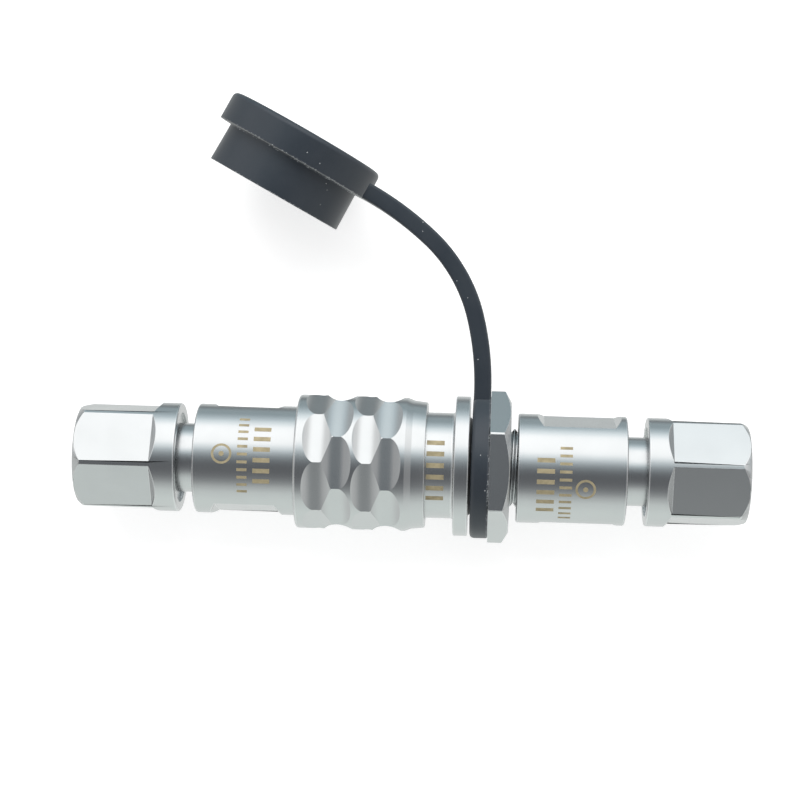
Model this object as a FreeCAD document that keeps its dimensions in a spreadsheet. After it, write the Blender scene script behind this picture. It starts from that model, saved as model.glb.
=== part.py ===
import FreeCAD, Part

import math
import os
import re

import Sketcher

# A round push-pull connector pair, mated: a cable plug with a knurled coupling sleeve in a flanged
# panel socket, both with a cable gland at the rear, and a rubber dust cap tethered under the panel nut.
# Millimetres. X runs along the connector, from the plug's cable end to the socket's, and X = 0 is the
# rear face of the socket's flange, where a panel seats. Z is up, and the dust cap lies towards +Y.

# Driving dimensions. Radii grow outwards from the contacts by walls and clearances.
SIZES = {
    # Contacts and the insulators that carry them
    "contact_circle": 1.9,
    "pin_radius": 0.45,
    "pin_shank": 0.2,
    "pin_reach": 4.5,
    "pin_front_length": 6.5,
    "pin_clearance": 0.05,
    "contact_wall": 0.25,
    "contact_setback": 0.4,
    "contact_bore_depth": 5.3,
    "entry_clearance": 0.15,
    "cup_length": 2.6,
    "cup_depth": 2.0,
    "cup_wall": 0.2,
    "insert_radius": 3.55,
    "insert_step": 0.2,
    "insert_clearance": 0.05,
    "insert_gap": 0.1,
    "socket_insert_length": 7.5,
    "socket_boss_length": 3.0,
    "socket_boss_relief": 0.05,
    "plug_insert_length": 8.8,
    "plug_boss_length": 2.0,
    "circlip_thick": 0.6,
    "circlip_groove": 0.25,
    "circlip_depth": 0.6,
    "circlip_gap": 1.4,
    "circlip_play": 0.02,
    # Front of the plug barrel and the socket that takes it
    "barrel_wall": 0.75,
    "mating_clearance": 0.1,
    "socket_wall": 0.85,
    "socket_depth": 7.1,
    "lip_thick": 1.2,
    "barrel_end_gap": 0.3,
    "key_width": 1.2,
    "key_height": 0.3,
    "key_setback": 0.5,
    "key_clearance": 0.05,
    "tip_length": 3.5,
    "tip_chamfer": 0.2,
    "latch_depth": 0.35,
    "latch_width": 0.5,
    "latch_setback": 2.0,
    "hook_play": 0.07,
    "hook_relief": 0.05,
    "finger_gap": 0.1,
    "finger_thick": 0.4,
    "finger_tip": 0.05,
    "finger_count": 6,
    "finger_slot": 0.8,
    # Nose, flange and panel thread of the socket
    "nose_step": 0.95,
    "nose_length": 4.35,
    "nose_cove": 0.35,
    "flange_radius": 8.0,
    "flange_thick": 1.65,
    "edge_break": 0.15,
    "thread_wall": 0.9,
    "nut_room": 0.82,
    "thread_chamfer": 0.3,
    "thread_clearance": 0.05,
    "seal_wire": 0.5,
    "seal_proud": 0.28,
    "seal_wall": 0.2,
    "seal_play": 0.05,
    "seal_relief": 0.01,
    # Panel nut
    "panel_nut_across": 15.2,
    "panel_nut_corner": 8.72,
    "panel_nut_thick": 2.36,
    "panel_nut_chamfer": 0.74,
    "panel_nut_face": 7.45,
    "panel_nut_turn": 2.6,
    # Plug barrel behind the latch
    "face_seal_wire": 0.44,
    "face_seal_play": 0.02,
    "neck_step": 0.45,
    "neck_length": 2.1,
    "collet_flange": 0.4,
    "collet_base": 0.8,
    "collar_step": 0.4,
    "guide_length": 4.5,
    "barrel_thread_wall": 1.3,
    "barrel_thread_length": 4.0,
    "shell_seal_wire": 0.28,
    "shell_seal_land": 0.3,
    # Coupling sleeve
    "sleeve_reach": 7.6,
    "sleeve_length": 14.7,
    "sleeve_wall": 1.25,
    "sleeve_clearance": 0.15,
    "sleeve_chamfer": 0.3,
    "land_clearance": 0.15,
    "land_start": 1.5,
    "land_length": 2.2,
    "front_bore_clearance": 0.15,
    "front_ring_length": 1.56,
    "front_ring_wall": 1.19,
    "front_ring_taper": 0.2,
    "front_cove": 0.7,
    "stop_ring_thick": 1.0,
    "stop_ring_play": 0.1,
    "sleeve_thread_play": 0.02,
    "spring_wire": 0.2,
    "spring_turns": 3.25,
    "dimple_radius": 2.5,
    "dimple_depth": 0.62,
    "dimple_count": 8,
    "dimple_first": 2.6,
    "dimple_stagger": 2.25,
    "dimple_pair": 5.55,
    "dimple_turn": 21.4,
    # Rear shells
    "shell_wall": 1.3,
    "plug_shell_length": 14.1,
    "shell_end_gap": 0.3,
    "socket_shell_length": 12.4,
    "shell_web": 0.9,
    "wire_hole": 3.2,
    "shell_chamfer": 0.2,
    "flat_count": 2,
    "flat_depth": 0.65,
    "flat_ramp": 1.1,
    "plug_flat_start": 2.4,
    "plug_flat_length": 6.7,
    "plug_flat_turn": -10.0,
    "socket_flat_start": 2.9,
    "socket_flat_length": 8.1,
    "socket_flat_turn": 12.0,
    "socket_thread_depth": 3.4,
    "socket_seal_wire": 0.25,
    # Cable gland, the same parts in both halves
    "cable_bore": 2.75,
    "claw_bore": 2.6,
    "claw_finger": 0.5,
    "claw_clearance": 0.1,
    "claw_ring": 1.1,
    "claw_length": 10.5,
    "claw_count": 6,
    "claw_slot": 0.8,
    "claw_taper": 0.3,
    "washer_thick": 0.4,
    "cable_seal_length": 1.6,
    "cable_seal_bore": 2.0,
    "gland_play": 0.05,
    "spigot_wall": 0.75,
    "spigot_length": 5.3,
    "collar_radius": 6.22,
    "collar_length": 2.85,
    "collar_recess": 0.35,
    "collar_rim": 1.1,
    "nut_length": 11.65,
    "nut_across": 11.0,
    "hexagon_count": 6,
    "nut_ramp": 0.9,
    "nut_face": 5.06,
    "nut_chamfer": 1.72,
    "exit_length": 3.1,
    "exit_cone": 0.6,
    "plug_nut_gap": 2.0,
    "socket_nut_gap": 2.3,
    "plug_nut_turn": 23.4,
    "socket_nut_turn": -20.0,
    # Dust cap, strap and tether ring, moulded in one piece
    "tether_radius": 8.2,
    "tether_thick": 2.04,
    "tether_chamfer": 0.45,
    "tether_clearance": 0.1,
    "strap_thick": 1.96,
    "strap_width": 5.0,
    "strap_straight": 0.7,
    "strap_radius_1": 32.0,
    "strap_angle_1": 15.0,
    "strap_radius_2": 18.0,
    "strap_angle_2": 33.0,
    "strap_radius_3": 36.0,
    "strap_angle_3": 14.0,
    "strap_root": 1.5,
    "brim_radius": 9.5,
    "brim_height": 3.4,
    "brim_round": 0.6,
    "skirt_radius": 8.2,
    "skirt_draft": 0.08,
    "cap_height": 8.0,
    "cap_roof": 1.5,
    "cap_fit": 0.05,
    "cap_bead": 0.2,
}

# Radii and stations along X that follow from the driving dimensions.
DERIVED = {
    "insert_bore": "insert_radius + insert_clearance",
    "boss_radius": "insert_radius - insert_step",
    "lip_bore": "boss_radius + insert_clearance",
    "barrel_front": "lip_bore + barrel_wall",
    "socket_bore": "barrel_front + mating_clearance",
    "tip_radius": "socket_bore + socket_wall",
    "latch_radius": "tip_radius - latch_depth",
    "hook_radius": "latch_radius + hook_relief",
    "finger_inner": "tip_radius + finger_gap",
    "finger_outer": "finger_inner + finger_thick",
    "land_bore": "finger_outer + land_clearance",
    "nose_radius": "tip_radius + nose_step",
    "front_bore": "nose_radius + front_bore_clearance",
    "neck_radius": "barrel_front + neck_step",
    "collet_radius": "finger_outer + collet_flange",
    "chamber_bore": "collet_radius + stop_ring_play * 2",
    "barrel_thread": "insert_bore + barrel_thread_wall",
    "guide_radius": "barrel_thread + collar_step",
    "plug_thread_bore": "barrel_thread + thread_clearance",
    "shell_radius": "plug_thread_bore + shell_wall",
    "sleeve_bore": "shell_radius + sleeve_clearance",
    "sleeve_radius": "sleeve_bore + sleeve_wall",
    "thread_radius": "insert_bore + thread_wall",
    "nut_thread_bore": "thread_radius + thread_clearance",
    "panel_seal_circle": "thread_radius + seal_wall + seal_wire",
    "seal_middle": "seal_proud - seal_wire",
    "shell_seal_circle": "plug_thread_bore - shell_seal_wire",
    "contact_bore": "pin_radius + pin_clearance",
    "contact_radius": "contact_bore + contact_wall",
    "shank_radius": "pin_radius + pin_shank",
    "claw_outer": "claw_bore + claw_finger",
    "nut_bore": "claw_outer + claw_clearance",
    "spigot_radius": "nut_bore + spigot_wall",
    "gland_bore": "spigot_radius + gland_play",
    "gland_fit": "gland_bore - claw_clearance",
    "socket_shell_front": "seal_proud + tether_thick + panel_nut_thick + nut_room",
    "thread_length": "socket_shell_front + socket_thread_depth - socket_seal_wire * 2",
    "nose_end": "-(flange_thick + nose_length)",
    "tip_end": "nose_end - tip_length",
    "socket_floor": "tip_end + socket_depth",
    "socket_insert_front": "socket_floor - socket_boss_length",
    "socket_insert_seat": "socket_floor + lip_thick",
    "socket_insert_rear": "socket_insert_seat + socket_insert_length",
    "plug_insert_front": "socket_insert_front - insert_gap",
    "plug_insert_seat": "plug_insert_front - plug_boss_length",
    "plug_insert_rear": "plug_insert_seat - plug_insert_length",
    "barrel_end": "socket_floor - barrel_end_gap",
    "seal_face": "tip_end - face_seal_wire * 2 - face_seal_play",
    "collet_seat": "seal_face - neck_length",
    "collet_face": "collet_seat + collet_base",
    "plug_shell_front": "collet_seat - guide_length",
    "shell_seal_middle": "plug_shell_front - shell_seal_land - shell_seal_wire - seal_play",
    "barrel_rear": "plug_shell_front - barrel_thread_length",
    "plug_shell_rear": "plug_shell_front - plug_shell_length",
    "plug_thread_floor": "barrel_rear - shell_end_gap",
    "plug_gland_floor": "plug_thread_floor - shell_web",
    "sleeve_front": "collet_seat + sleeve_reach",
    "sleeve_rear": "sleeve_front - sleeve_length",
    "socket_shell_rear": "socket_shell_front + socket_shell_length",
    "socket_thread_floor": "socket_shell_front + socket_thread_depth",
    "socket_gland_floor": "socket_thread_floor + shell_web",
    "spring_circle": "(guide_radius + sleeve_bore) / 2",
    "spring_front": "collet_seat - stop_ring_thick",
    "tether_middle": "seal_proud + tether_thick / 2",
    "strap_x_0": "tether_middle",
    "strap_y_0": "tether_radius + strap_straight",
    "strap_turn_0": "0",
    "cap_seat": "brim_height - strap_thick / 2",
}

# The strap bends in three tangent arcs. Each arc's centre and far end follow from the last one's.
STRAP_ARCS = (1, 2, 3)
for arc in STRAP_ARCS:
    before = arc - 1
    DERIVED[f"strap_turn_{arc}"] = f"strap_turn_{before} + strap_angle_{arc}"
    for way, wave in (("x", "cos"), ("y", "sin")):
        reach = f"strap_radius_{arc} * {wave}"
        DERIVED[f"strap_middle_{way}_{arc}"] = f"strap_{way}_{before} - {reach}(strap_turn_{before} * 1deg)"
        DERIVED[f"strap_{way}_{arc}"] = f"strap_middle_{way}_{arc} + {reach}(strap_turn_{arc} * 1deg)"
LAST = STRAP_ARCS[-1]
DERIVED["cap_turn"] = f"strap_turn_{LAST}"
DERIVED["root_x"] = f"strap_x_{LAST} - strap_root * sin(cap_turn * 1deg)"
DERIVED["root_y"] = f"strap_y_{LAST} + strap_root * cos(cap_turn * 1deg)"
DERIVED["cap_x"] = f"strap_x_{LAST} - brim_radius * sin(cap_turn * 1deg) + cap_seat * cos(cap_turn * 1deg)"
DERIVED["cap_y"] = f"strap_y_{LAST} + brim_radius * cos(cap_turn * 1deg) + cap_seat * sin(cap_turn * 1deg)"
DERIVED["brim_low_y"] = "cap_y - brim_height * sin(cap_turn * 1deg)"
DERIVED["cap_lift"] = "asin((brim_radius - tether_radius) / brim_low_y)"

doc = FreeCAD.newDocument("connector_pair")
sheet = doc.addObject("Spreadsheet::Sheet", "Sizes")
NAME = re.compile(r"\b[a-z][a-z0-9_]*\b(?!\()")
CUTS = []

# Where the contacts stand on their circle, as its share along Y and Z.
CONTACTS = ((1, 0), (0, 1), (-1, 0), (0, -1))

# Straight steps that stand in for a rounded edge in a turned outline.
ROUND_STEPS = 4


def fill_sheet():
    """Writes the driving sizes as numbers and what follows from them as formulas, each with its alias."""
    formulas = {name: f"={formula}" for name, formula in DERIVED.items()}
    for above, (name, content) in enumerate({**SIZES, **formulas}.items()):
        cell = f"B{above + 1}"
        sheet.set(f"A{above + 1}", name)
        sheet.set(cell, str(content))
        sheet.setAlias(cell, name)
    doc.recompute()


def linked(formula):
    """A formula of sheet names, written the way another object of the document refers to them."""
    return NAME.sub(lambda word: f"Sizes.{word.group()}", formula)


def bind(thing, path, formula):
    thing.setExpression(path, linked(formula))


def now(formula):
    """What a formula of sheet names comes to, for a sketch's first guess."""
    return float(sheet.evalExpression(formula))


def new_piece(label, x="0", turned_round=False):
    """A body whose own origin lies on the connector's axis at x, facing -X when turned round."""
    body = doc.addObject("PartDesign::Body", label)
    body.Label = label
    spin = FreeCAD.Rotation(FreeCAD.Vector(0, 0, 1), 180 if turned_round else 0)
    body.Placement = FreeCAD.Placement(FreeCAD.Vector(now(x), 0, 0), spin)
    bind(body, "Placement.Base.x", x)
    return body


def datum(body, role):
    return next(feature for feature in body.Origin.OriginFeatures if feature.Role == role)


def new_sketch(body, name, plane="XY_Plane", turn=None, offset=None):
    """A sketch on one of the body's own planes, turned about X or pushed along the plane's normal."""
    sketch = body.newObject("Sketcher::SketchObject", f"{body.Name}_{name}")
    sketch.AttachmentSupport = [(datum(body, plane), "")]
    sketch.MapMode = "FlatFace"
    if turn:
        about_x = FreeCAD.Rotation(FreeCAD.Vector(1, 0, 0), now(turn))
        sketch.AttachmentOffset = FreeCAD.Placement(FreeCAD.Vector(), about_x)
        bind(sketch, "AttachmentOffset.Rotation.Angle", turn)
    if offset:
        bind(sketch, "AttachmentOffset.Base.z", offset)
    return sketch


def hold_point(sketch, edge, end, x, y):
    """Holds one point of a sketch at a pair of formulas."""
    for kind, formula in (("DistanceX", x), ("DistanceY", y)):
        made = sketch.addConstraint(Sketcher.Constraint(kind, -1, 1, edge, end, now(formula)))
        bind(sketch, f"Constraints[{made}]", formula)


def draw_outline(sketch, corners):
    """A closed outline of straight sides, its corners given as pairs of formulas."""
    places = [FreeCAD.Vector(now(x), now(y), 0) for x, y in corners]
    first = sketch.GeometryCount
    count = len(corners)
    for side in range(count):
        sketch.addGeometry(Part.LineSegment(places[side], places[(side + 1) % count]), False)
    for side in range(count):
        following = first + (side + 1) % count
        sketch.addConstraint(Sketcher.Constraint("Coincident", first + side, 2, following, 1))
        hold_point(sketch, first + side, 1, *corners[side])


def draw_circle(sketch, x, y, radius):
    middle = FreeCAD.Vector(now(x), now(y), 0)
    edge = sketch.addGeometry(Part.Circle(middle, FreeCAD.Vector(0, 0, 1), now(radius)), False)
    hold_point(sketch, edge, 3, x, y)
    made = sketch.addConstraint(Sketcher.Constraint("Radius", edge, now(radius)))
    bind(sketch, f"Constraints[{made}]", radius)


def revolve(body, corners, name="turning"):
    """Turns an outline of (along X, radius) corners about the body's X axis."""
    sketch = new_sketch(body, f"{name}_outline")
    draw_outline(sketch, corners)
    turning = body.newObject("PartDesign::Revolution", f"{body.Name}_{name}")
    turning.Profile = sketch
    turning.ReferenceAxis = (sketch, ["H_Axis"])
    turning.Angle = 360
    return turning


def turn_groove(body, name, corners):
    """Turns an outline out of the body about its X axis."""
    sketch = new_sketch(body, f"{name}_outline")
    draw_outline(sketch, corners)
    groove = body.newObject("PartDesign::Groove", f"{body.Name}_{name}")
    groove.Profile = sketch
    groove.ReferenceAxis = (sketch, ["H_Axis"])
    groove.Angle = 360
    CUTS.append(groove)


def mill(body, name, sketch, width, count=None):
    """Cuts a sketch right across the body, width wide about its plane, and repeats it about X."""
    pocket = body.newObject("PartDesign::Pocket", f"{body.Name}_{name}")
    pocket.Profile = sketch
    pocket.SideType = "Symmetric"
    bind(pocket, "Length", width)
    CUTS.append(pocket)
    if count:
        repeat_about_x(body, pocket, name, count)


def repeat_about_x(body, feature, name, count):
    pattern = body.newObject("PartDesign::PolarPattern", f"{body.Name}_{name}_pattern")
    pattern.Originals = [feature]
    pattern.Axis = (datum(body, "X_Axis"), [""])
    pattern.Angle = 360
    bind(pattern, "Occurrences", count)
    body.Tip = pattern
    CUTS.append(pattern)


def ring(label, x, length, inner, outer, turned_round=False):
    """A plain turned ring from x onwards."""
    body = new_piece(label, x, turned_round)
    revolve(body, [("0", inner), (length, inner), (length, outer), ("0", outer)])
    return body


def seal_ring(label, x, circle, wire):
    """A rubber O-ring about the connector's axis, its middle at x."""
    seal = doc.addObject("Part::Torus", label)
    seal.Label = label
    about_y = FreeCAD.Rotation(FreeCAD.Vector(0, 1, 0), 90)
    seal.Placement = FreeCAD.Placement(FreeCAD.Vector(now(x), 0, 0), about_y)
    bind(seal, "Placement.Base.x", x)
    bind(seal, "Radius1", circle)
    bind(seal, "Radius2", wire)


def retaining_ring(label, x, inner, outer):
    """An open snap ring, its gap towards -Y."""
    body = ring(label, x, "circlip_thick", inner, outer)
    sketch = new_sketch(body, "gap")
    draw_outline(sketch, [("-circlip_thick", "-shell_radius"), ("circlip_thick * 2", "-shell_radius"),
                          ("circlip_thick * 2", "0"), ("-circlip_thick", "0")])
    mill(body, "opening", sketch, "circlip_gap")


def contact_holes(body, name, start, depth, radius):
    """One hole for each contact, from start forwards."""
    sketch = new_sketch(body, f"{name}_circle", plane="YZ_Plane", offset=start)
    draw_circle(sketch, "contact_circle", "0", radius)
    hole = body.newObject("PartDesign::Pocket", f"{body.Name}_{name}")
    hole.Profile = sketch
    hole.Reversed = True
    bind(hole, "Length", depth)
    CUTS.append(hole)
    repeat_about_x(body, hole, name, str(len(CONTACTS)))


def contact_set(label, x, corners):
    """The turned contacts, one in each place of the contact circle."""
    for before, (across, up) in enumerate(CONTACTS):
        body = new_piece(f"{label}_{before + 1}", x)
        revolve(body, corners)
        bind(body, "Placement.Base.y", f"contact_circle * {across}")
        bind(body, "Placement.Base.z", f"contact_circle * {up}")


def mill_flats(body, count, turn, radius, depth, start, end, ramp):
    """Flats milled into a round of some radius, each end of a flat sloping up to the surface."""
    sketch = new_sketch(body, "flat_outline", turn=turn)
    run = f"{ramp} * ({depth}) * 2"
    floor = f"{radius} - ({depth})"
    above = f"{radius} + ({depth})"
    draw_outline(sketch, [(start, floor), (end, floor), (f"{end} + {run}", above), (f"{start} - {run}", above)])
    mill(body, "flats", sketch, f"{radius} * 2", count)


def build_socket_shell():
    """Nose, flange and panel thread, turned in one piece, with the key rib in the bore."""
    shell = new_piece("socket_shell")
    latch_near = "tip_end + latch_setback"
    latch_far = "tip_end + latch_setback + latch_width"
    revolve(shell, [
        ("tip_end", "socket_bore"),
        ("socket_floor", "socket_bore"),
        ("socket_floor", "lip_bore"),
        ("socket_insert_seat", "lip_bore"),
        ("socket_insert_seat", "insert_bore"),
        ("thread_length", "insert_bore"),
        ("thread_length", "thread_radius - thread_chamfer"),
        ("thread_length - thread_chamfer", "thread_radius"),
        ("0", "thread_radius"),
        ("0", "flange_radius - edge_break"),
        ("-edge_break", "flange_radius"),
        ("-flange_thick + edge_break", "flange_radius"),
        ("-flange_thick", "flange_radius - edge_break"),
        ("-flange_thick", "nose_radius + nose_cove"),
        ("-flange_thick - nose_cove", "nose_radius"),
        ("nose_end + edge_break", "nose_radius"),
        ("nose_end", "nose_radius - edge_break"),
        ("nose_end", "tip_radius"),
        (f"{latch_far} + latch_depth", "tip_radius"),
        (latch_far, "latch_radius"),
        (latch_near, "latch_radius"),
        (f"{latch_near} - latch_depth", "tip_radius"),
        ("tip_end + tip_chamfer", "tip_radius"),
        ("tip_end", "tip_radius - tip_chamfer"),
    ])
    seal_floor = "seal_middle - seal_wire - seal_play"
    turn_groove(shell, "seal_groove", [
        (seal_floor, "panel_seal_circle - seal_wire - seal_play"),
        ("seal_proud", "panel_seal_circle - seal_wire - seal_play"),
        ("seal_proud", "panel_seal_circle + seal_wire + seal_play"),
        (seal_floor, "panel_seal_circle + seal_wire + seal_play"),
    ])
    turn_groove(shell, "circlip_groove", [
        ("socket_insert_rear", "insert_radius"),
        ("socket_insert_rear + circlip_thick + circlip_play", "insert_radius"),
        ("socket_insert_rear + circlip_thick + circlip_play", "insert_bore + circlip_groove"),
        ("socket_insert_rear", "insert_bore + circlip_groove"),
    ])
    sketch = new_sketch(shell, "key_outline")
    draw_outline(sketch, [("tip_end + key_setback", "socket_bore - key_height"),
                          ("socket_floor", "socket_bore - key_height"),
                          ("socket_floor", "socket_bore + key_height"),
                          ("tip_end + key_setback", "socket_bore + key_height")])
    key = shell.newObject("PartDesign::Pad", "socket_shell_key")
    key.Profile = sketch
    key.SideType = "Symmetric"
    bind(key, "Length", "key_width")
    seal_ring("panel_oring", "seal_middle", "panel_seal_circle", "seal_wire")


def build_socket_contacts():
    """The socket's insulator, its four contacts and the snap ring that holds them in."""
    insert = new_piece("socket_insert", "socket_insert_front")
    step = "socket_boss_length + lip_thick"
    end = f"{step} + socket_insert_length"
    boss = "boss_radius - socket_boss_relief"
    revolve(insert, [("0", "0"), ("0", boss), (step, boss), (step, "insert_radius"),
                     (end, "insert_radius"), (end, "0")])
    contact_holes(insert, "entry", "0", "contact_setback", "pin_radius + entry_clearance")
    contact_holes(insert, "cavity", "contact_setback", end, "contact_radius + pin_clearance")
    body_end = f"{end} - contact_setback"
    rear = f"{body_end} + cup_length"
    cup = "shank_radius - cup_wall"
    contact_set("socket_contact", "socket_insert_front + contact_setback", [
        ("0", "contact_bore"),
        ("contact_bore_depth", "contact_bore"),
        ("contact_bore_depth", "0"),
        (f"{rear} - cup_depth", "0"),
        (f"{rear} - cup_depth", cup),
        (rear, cup),
        (rear, "shank_radius"),
        (body_end, "shank_radius"),
        (body_end, "contact_radius"),
        ("0", "contact_radius"),
    ])
    retaining_ring("socket_insert_circlip", "socket_insert_rear",
                   "insert_bore - circlip_depth", "insert_bore + circlip_groove - circlip_play")


def build_barrel():
    """The plug's front tube, keyed to the socket and threaded into the rear shell."""
    barrel = new_piece("plug_barrel")
    revolve(barrel, [
        ("barrel_rear", "insert_bore"),
        ("plug_insert_seat", "insert_bore"),
        ("plug_insert_seat", "lip_bore"),
        ("barrel_end", "lip_bore"),
        ("barrel_end", "barrel_front - tip_chamfer"),
        ("barrel_end - tip_chamfer", "barrel_front"),
        ("seal_face", "barrel_front"),
        ("seal_face", "neck_radius"),
        ("collet_seat", "neck_radius"),
        ("collet_seat", "guide_radius"),
        ("plug_shell_front", "guide_radius"),
        ("plug_shell_front", "barrel_thread"),
        ("barrel_rear + thread_chamfer", "barrel_thread"),
        ("barrel_rear", "barrel_thread - thread_chamfer"),
    ])
    clip_rear = "plug_insert_rear - circlip_thick - circlip_play"
    turn_groove(barrel, "insert_groove", [
        (clip_rear, "insert_radius"),
        ("plug_insert_rear", "insert_radius"),
        ("plug_insert_rear", "insert_bore + circlip_groove"),
        (clip_rear, "insert_bore + circlip_groove"),
    ])
    clip_front = "collet_face + circlip_thick + circlip_play"
    turn_groove(barrel, "collet_groove", [
        ("collet_face", "neck_radius - circlip_groove"),
        (clip_front, "neck_radius - circlip_groove"),
        (clip_front, "collet_radius"),
        ("collet_face", "collet_radius"),
    ])
    seal_rear = "shell_seal_middle - shell_seal_wire - seal_play"
    seal_front = "shell_seal_middle + shell_seal_wire + seal_play"
    turn_groove(barrel, "seal_groove", [
        (seal_rear, "shell_seal_circle - shell_seal_wire"),
        (seal_front, "shell_seal_circle - shell_seal_wire"),
        (seal_front, "shell_radius"),
        (seal_rear, "shell_radius"),
    ])
    sketch = new_sketch(barrel, "keyway_outline")
    draw_outline(sketch, [("tip_end", "socket_bore - key_height - key_clearance"),
                          ("socket_floor", "socket_bore - key_height - key_clearance"),
                          ("socket_floor", "tip_radius"),
                          ("tip_end", "tip_radius")])
    mill(barrel, "keyway", sketch, "key_width + key_clearance * 2")
    seal_ring("plug_shell_oring", "shell_seal_middle", "shell_seal_circle", "shell_seal_wire - seal_relief")
    seal_ring("barrel_oring", "tip_end - face_seal_wire - face_seal_play / 2",
              "barrel_front + face_seal_wire + seal_relief", "face_seal_wire")


def build_plug_contacts():
    """The plug's insulator, its four pins and the snap ring that holds them in."""
    insert = new_piece("plug_insert", "plug_insert_rear")
    end = "plug_insert_length + plug_boss_length"
    revolve(insert, [("0", "0"), ("0", "insert_radius"), ("plug_insert_length", "insert_radius"),
                     ("plug_insert_length", "boss_radius"), (end, "boss_radius"), (end, "0")])
    shoulder = f"{end} - pin_front_length"
    contact_holes(insert, "shank", "0", shoulder, "shank_radius + pin_clearance")
    contact_holes(insert, "pin", shoulder, "pin_front_length", "pin_radius + pin_clearance")
    cup = "shank_radius - cup_wall"
    tip = f"cup_length + {end} + pin_reach"
    contact_set("plug_pin", "plug_insert_rear - cup_length", [
        ("0", cup),
        ("cup_depth", cup),
        ("cup_depth", "0"),
        (tip, "0"),
        (tip, "pin_radius / 2"),
        (f"{tip} - pin_radius", "pin_radius"),
        (f"cup_length + {shoulder}", "pin_radius"),
        (f"cup_length + {shoulder}", "shank_radius"),
        ("0", "shank_radius"),
    ])
    retaining_ring("plug_insert_circlip", "plug_insert_rear - circlip_thick",
                   "insert_bore - circlip_depth", "insert_bore + circlip_groove - circlip_play")


def build_latch():
    """The sprung claw whose hooks hold the socket's latch groove, and its snap ring."""
    collet = new_piece("latch_collet")
    near = "tip_end + latch_setback + hook_play"
    far = "tip_end + latch_setback + latch_width - hook_play"
    rise = "(finger_inner - hook_radius)"
    end = f"{far} + {rise} + finger_tip"
    revolve(collet, [
        ("collet_seat", "neck_radius + thread_clearance"),
        ("collet_face", "neck_radius + thread_clearance"),
        ("collet_face", "finger_inner"),
        (f"{near} - {rise}", "finger_inner"),
        (near, "hook_radius"),
        (far, "hook_radius"),
        (f"{far} + {rise}", "finger_inner"),
        (end, "finger_inner"),
        (end, "finger_outer"),
        ("collet_face", "finger_outer"),
        ("collet_face", "collet_radius"),
        ("collet_seat", "collet_radius"),
    ])
    sketch = new_sketch(collet, "slot_outline")
    draw_outline(sketch, [("collet_face", "0"), ("nose_end", "0"),
                          ("nose_end", "collet_radius"), ("collet_face", "collet_radius")])
    mill(collet, "slots", sketch, "finger_slot", "finger_count")
    retaining_ring("collet_circlip", "collet_face",
                   "neck_radius - circlip_groove + circlip_play", "finger_inner - finger_gap")


def build_sleeve():
    """The coupling sleeve with its staggered columns of milled dimples, its stop ring and spring."""
    sleeve = new_piece("coupling_sleeve")
    land_front = "sleeve_front - land_start"
    land_rear = f"{land_front} - land_length"
    ring_start = "sleeve_front - front_ring_length"
    revolve(sleeve, [
        ("sleeve_rear", "sleeve_bore"),
        ("collet_seat", "sleeve_bore"),
        ("collet_seat", "chamber_bore"),
        (land_rear, "chamber_bore"),
        (land_rear, "land_bore"),
        (land_front, "land_bore"),
        (land_front, "front_bore"),
        ("sleeve_front", "front_bore"),
        ("sleeve_front", "front_bore + front_ring_wall - front_ring_taper"),
        (ring_start, "front_bore + front_ring_wall"),
        (f"{ring_start} - front_cove", "sleeve_radius"),
        ("sleeve_rear + sleeve_chamfer", "sleeve_radius"),
        ("sleeve_rear", "sleeve_radius - sleeve_chamfer"),
    ])
    cutter = "sleeve_radius - dimple_depth + dimple_radius"
    for name, shift, turn in (("even", "0", "dimple_turn"),
                              ("odd", "dimple_stagger", "dimple_turn + 180 / dimple_count")):
        sketch = new_sketch(sleeve, f"{name}_circles", turn=turn)
        first = f"sleeve_rear + dimple_first + {shift}"
        draw_circle(sketch, first, cutter, "dimple_radius")
        draw_circle(sketch, f"{first} + dimple_pair", cutter, "dimple_radius")
        mill(sleeve, f"{name}_dimples", sketch, "sleeve_radius", "dimple_count")
    ring("sleeve_stop_ring", "spring_front", "stop_ring_thick",
         "guide_radius + stop_ring_play", "sleeve_bore - sleeve_thread_play")
    spring = new_piece("sleeve_spring")
    sketch = new_sketch(spring, "wire_circle")
    draw_circle(sketch, "plug_shell_front + spring_wire", "spring_circle", "spring_wire")
    coil = spring.newObject("PartDesign::AdditiveHelix", "sleeve_spring_coil")
    coil.Profile = sketch
    coil.ReferenceAxis = (sketch, ["H_Axis"])
    coil.Mode = "height-turns-angle"
    bind(coil, "Height", "spring_front - plug_shell_front - spring_wire * 2")
    bind(coil, "Turns", "spring_turns")


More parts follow.
